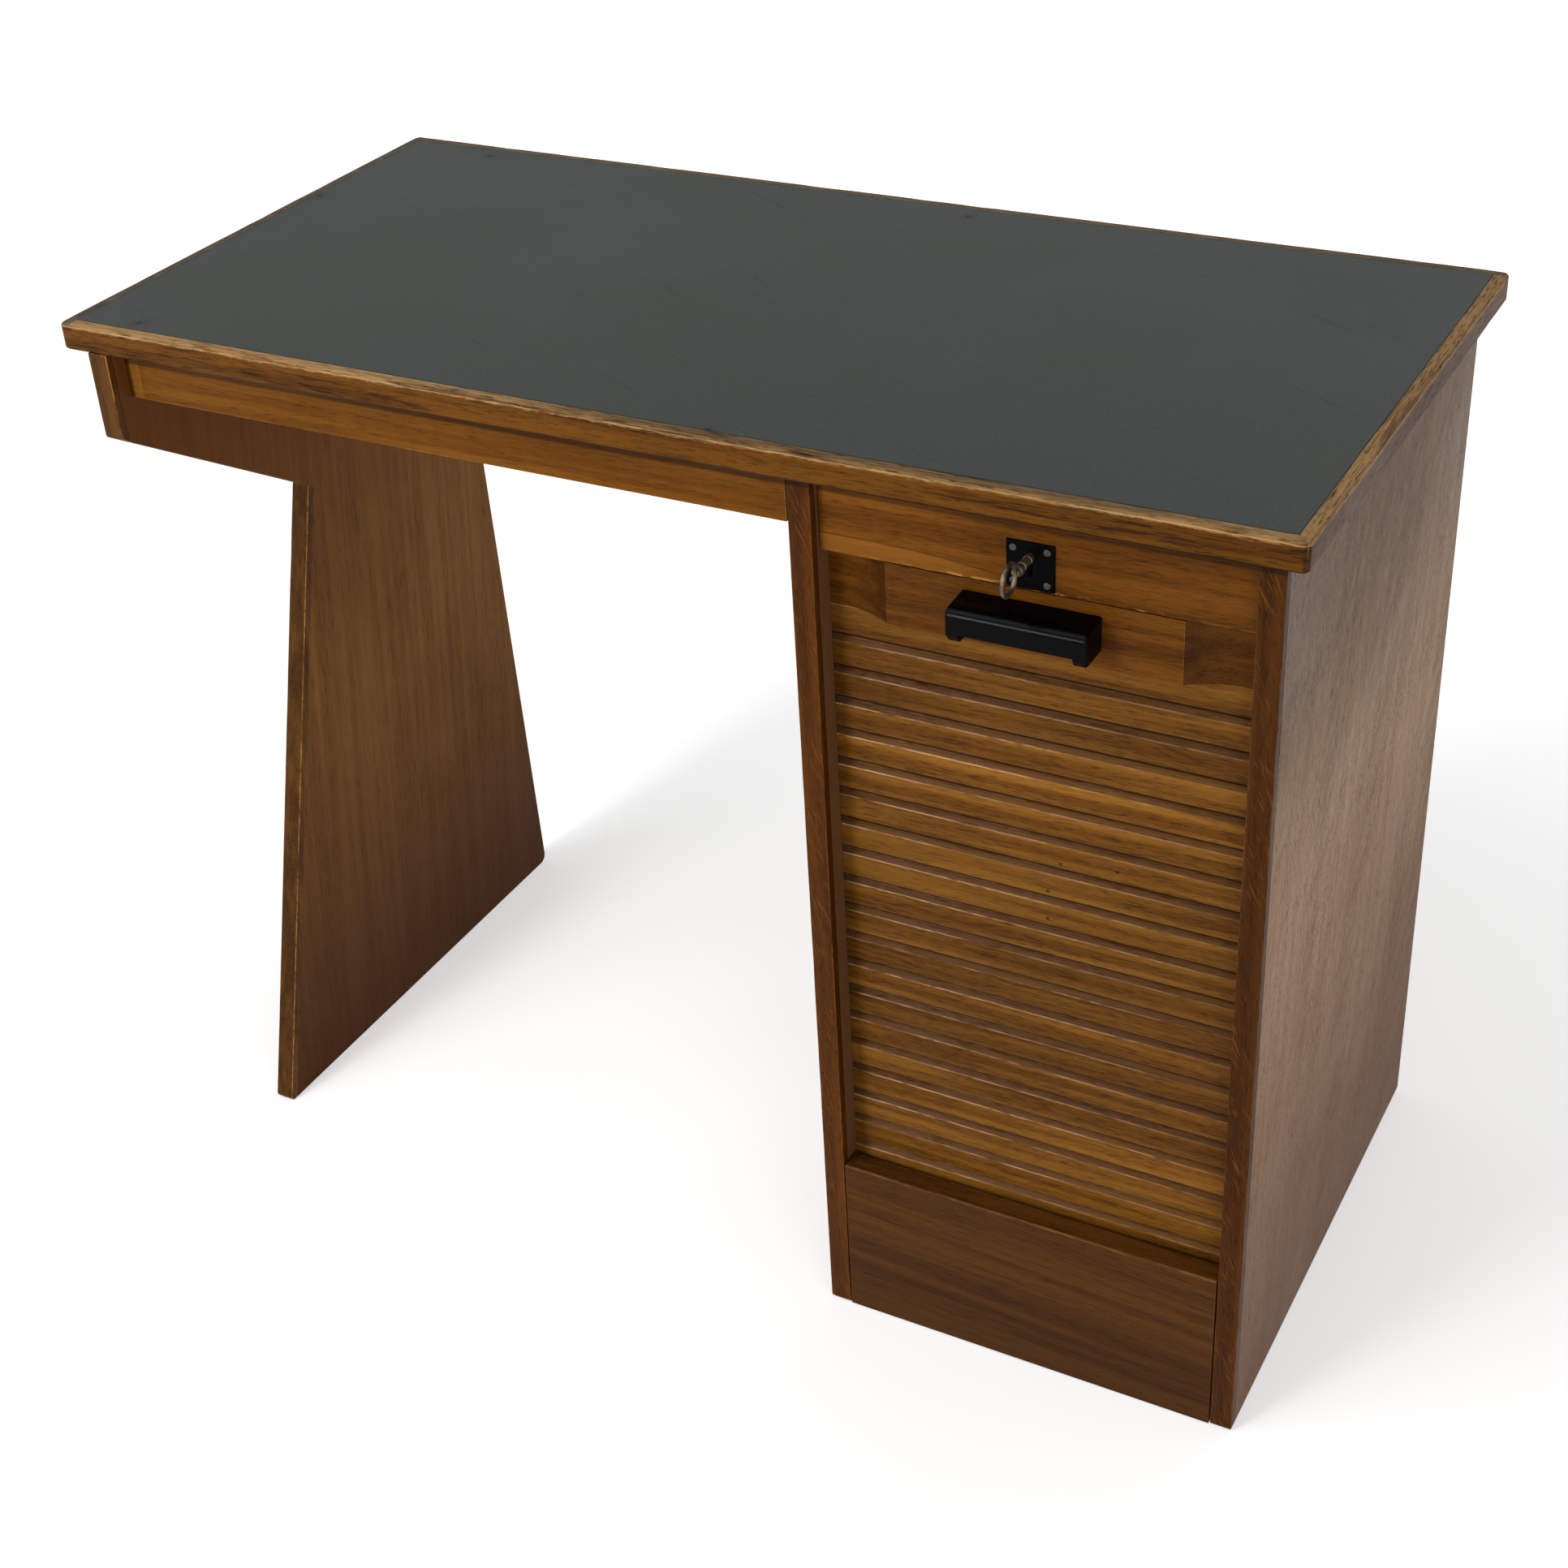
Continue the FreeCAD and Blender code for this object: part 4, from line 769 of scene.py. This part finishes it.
def key():
    """A key with a wire ring as its bow, a shank with collars, and a flat bit that hangs from it."""
    low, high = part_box("key")
    centre = (low + high) / 2
    wire = 1.9 * MM
    bow = (high.z - low.z) / 2 - wire
    middle = Vector((centre.x, low.y + bow + wire, centre.z))
    bow_sides, wire_sides, shank_sides = 48, 12, 28
    bm = bmesh.new()
    rings = []
    for turn in full_turn(bow_sides):
        out = DEEP * math.cos(turn) + UP * math.sin(turn)
        rings.append(ring_points(bm, middle + out * bow, out, ACROSS, wire, wire * 0.82, wire_sides))
    skin(bm, rings, closed=True)

    # The shank: how far in from its start, and its radius there
    profile = ((0.0, 1.4), (0.6, 2.6), (2.4, 3.0), (3.2, 3.8), (4.2, 4.0), (5.6, 4.0), (6.4, 3.7),
               (7.0, 3.05), (9.4, 3.0), (9.9, 3.4), (11.6, 3.4), (12.1, 3.0), (19.0, 2.95), (19.4, 3.3),
               (20.8, 3.3), (21.3, 2.95))
    start = middle.y + bow - 0.4 * MM
    rows = [(start + along * MM, radius * MM) for along, radius in profile] + [(high.y, 2.9 * MM)]
    skin(bm, [ring_points(bm, Vector((centre.x, y, centre.z)), ACROSS, UP, radius, radius, shank_sides)
              for y, radius in rows])

    half_thick, length, drop, depth = 1.4 * MM, 5.4 * MM, 2.0 * MM, 9.8 * MM
    upper = [Vector((centre.x + x, high.y - y, centre.z - drop))
             for x, y in ((-half_thick, length), (half_thick, length), (half_thick, 0), (-half_thick, 0))]
    lower = [corner - UP * depth for corner in upper]
    skin(bm, [[bm.verts.new(corner) for corner in ring] for ring in (upper, lower)])
    bmesh.ops.recalc_face_normals(bm, faces=bm.faces)
    finished(bm, "key", seed=40.0)


def plate_screws():
    """Domed heads, each cut by a slot: a round foot and shank, and two halves of a dome over it."""
    low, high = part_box("lock_screws")
    middle = (low + high) / 2
    radius, half_slot = 2.5 * MM, 0.38 * MM
    foot_sides, dome_steps = 24, 14
    half_x, half_z = ((high[n] - low[n] - 2 * radius) / 2 for n in (0, 2))

    # How far in from the front, and there the foot's radius or the dome's share of the head's
    foot = ((0.45, 2.45), (0.9, 2.5), (0.95, 1.4), (8.0, 1.4))
    dome = ((0.5, 0.98), (0.25, 0.93), (0.0, 0.72))
    bm = bmesh.new()
    for a, b, turn in ((-1, -1, 0.5), (-1, 1, 1.1), (1, -1, 0.2), (1, 1, 0.8)):
        place = Vector((middle.x + a * half_x, low.y, middle.z + b * half_z))
        along = ACROSS * math.cos(turn) + UP * math.sin(turn)
        across = ACROSS * -math.sin(turn) + UP * math.cos(turn)
        skin(bm, [ring_points(bm, place + DEEP * y * MM, along, across, wide * MM, wide * MM, foot_sides)
                  for y, wide in foot])
        for way in (-1, 1):
            rings = []
            for y, share in dome:
                reach = radius * share
                edge = math.asin(half_slot / reach)
                angles = [edge + (math.pi - 2 * edge) * n / dome_steps for n in range(dome_steps + 1)]
                rings.append([bm.verts.new(place + DEEP * y * MM + along * (reach * math.cos(angle))
                                           + across * (way * reach * math.sin(angle))) for angle in angles])
            skin(bm, rings)
    bmesh.ops.recalc_face_normals(bm, faces=bm.faces)
    finished(bm, "lock_screws", seed=41.0)


key()
plate_screws()


# The curtain: its slats and its cloth, each with a mesh of its own

slats = sorted(node for node in slot_of if node.startswith("slat_"))


def flatten(obj):
    """Gives a piece a mesh of its own."""
    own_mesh(obj)


# The slats' upper arrises are pale, most of all at the left: wear, and a painted highlight.
for number, node in enumerate(slats):
    piece = softened(node, 0.6 * MM, "x", 30 * MM, dents=0.25 * MM, seed=60.0 + number * 2.3,
                     tone=draw.uniform(0.84, 1.1) * (1 + 0.006 * number), wear_at=upper_wear_and_glint(node, 0.2))
    piece.modifiers.clear()
    flatten(piece)


def canvas_sheet():
    """The curtain's cloth, as a sheet just behind the slats' backs."""
    low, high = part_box("curtain_canvas")
    middle = (low + high) / 2
    behind = low.y + 0.1 * MM
    bm = bmesh.new()
    bmesh.ops.create_grid(bm, x_segments=20, y_segments=40, size=0.5)
    for vert in bm.verts:
        vert.co = Vector((middle.x + vert.co.x * (high.x - low.x), behind,
                          middle.z + vert.co.y * (high.z - low.z)))
    mesh = meshed(bm, "canvas_sheet")
    mesh.materials.append(materials["canvas"])
    obj = register(linked("canvas_sheet", mesh), "curtain_canvas")
    flatten(obj)


canvas_sheet()


# Floor, light and background

FLOOR_HALF, FLOOR_DROP = 6.0, 0.2 * MM
FLOOR_GLOW, FAR_GLOW, WORLD_LIGHT = 0.42, 0.8, 0.42


def floor():
    """A pale floor that glows for the rays that are seen, so that it fades to white and keeps the shadow."""
    t = tree_of_material("floor")
    shade = t.mix(t.span(t.noise(3, 2), 0.3, 0.7), (0.80, 0.80, 0.80, 1), (0.82, 0.82, 0.82, 1))
    shader = t.add("BsdfPrincipled", Base_Color=shade, Roughness=0.95, Specular_IOR_Level=0.05)
    away = t.add("VectorMath", {"operation": "LENGTH"}, i0=t.place()).outputs["Value"]
    strength = t.product(t.span(away, 0.5, 3.0, FLOOR_GLOW, FAR_GLOW), t.seen_ray())
    glow = t.add("Emission", Color=WHITE, Strength=strength)
    both = t.add("AddShader", i0=shader.outputs[0], i1=glow.outputs[0])
    t.add("OutputMaterial", Surface=both.outputs[0])
    bm = bmesh.new()
    bmesh.ops.create_grid(bm, x_segments=1, y_segments=1, size=FLOOR_HALF)
    mesh = meshed(bm, "floor")
    mesh.materials.append(t.owner)
    obj = linked("floor", mesh)
    obj.location.z = -FLOOR_DROP


def world():
    """Soft light from all round, and white for the rays that are seen."""
    studio = bpy.data.worlds.new("studio")
    bpy.context.scene.world = studio
    t = Tree(studio)
    light, white = (t.add("Background", Color=WHITE, Strength=strength) for strength in (WORLD_LIGHT, 1.0))
    choose = t.add("MixShader", i0=t.seen_ray(), i1=light.outputs[0], i2=white.outputs[0])
    t.add("OutputWorld", Surface=choose.outputs[0])


def lamp(name, place, aim, width, watts):
    """A round soft light at a place, turned to what it aims at."""
    data = bpy.data.lights.new(name, "AREA")
    data.shape = "DISK"
    data.size, data.energy = width, watts
    obj = linked(name, data)
    obj.location = place
    obj.rotation_euler = (Vector(aim) - Vector(place)).to_track_quat("-Z", "Y").to_euler()


floor()
world()
lamp("window_light", (-1.15, -3.15, 1.72), (0.1, 0, 0.5), width=0.95, watts=50)
lamp("ceiling_light", (-1.2, -1.5, 2.8), (0, 0, 0.5), width=1.6, watts=24)
lamp("right_light", (2.2, -2.4, 0.9), (-0.3, 0, 0.4), width=1.6, watts=22)
lamp("back_light", (0.8, 2.6, 2.2), (0, 0, 0.6), width=2.0, watts=16)
bpy.context.scene.view_settings.view_transform = "Standard"
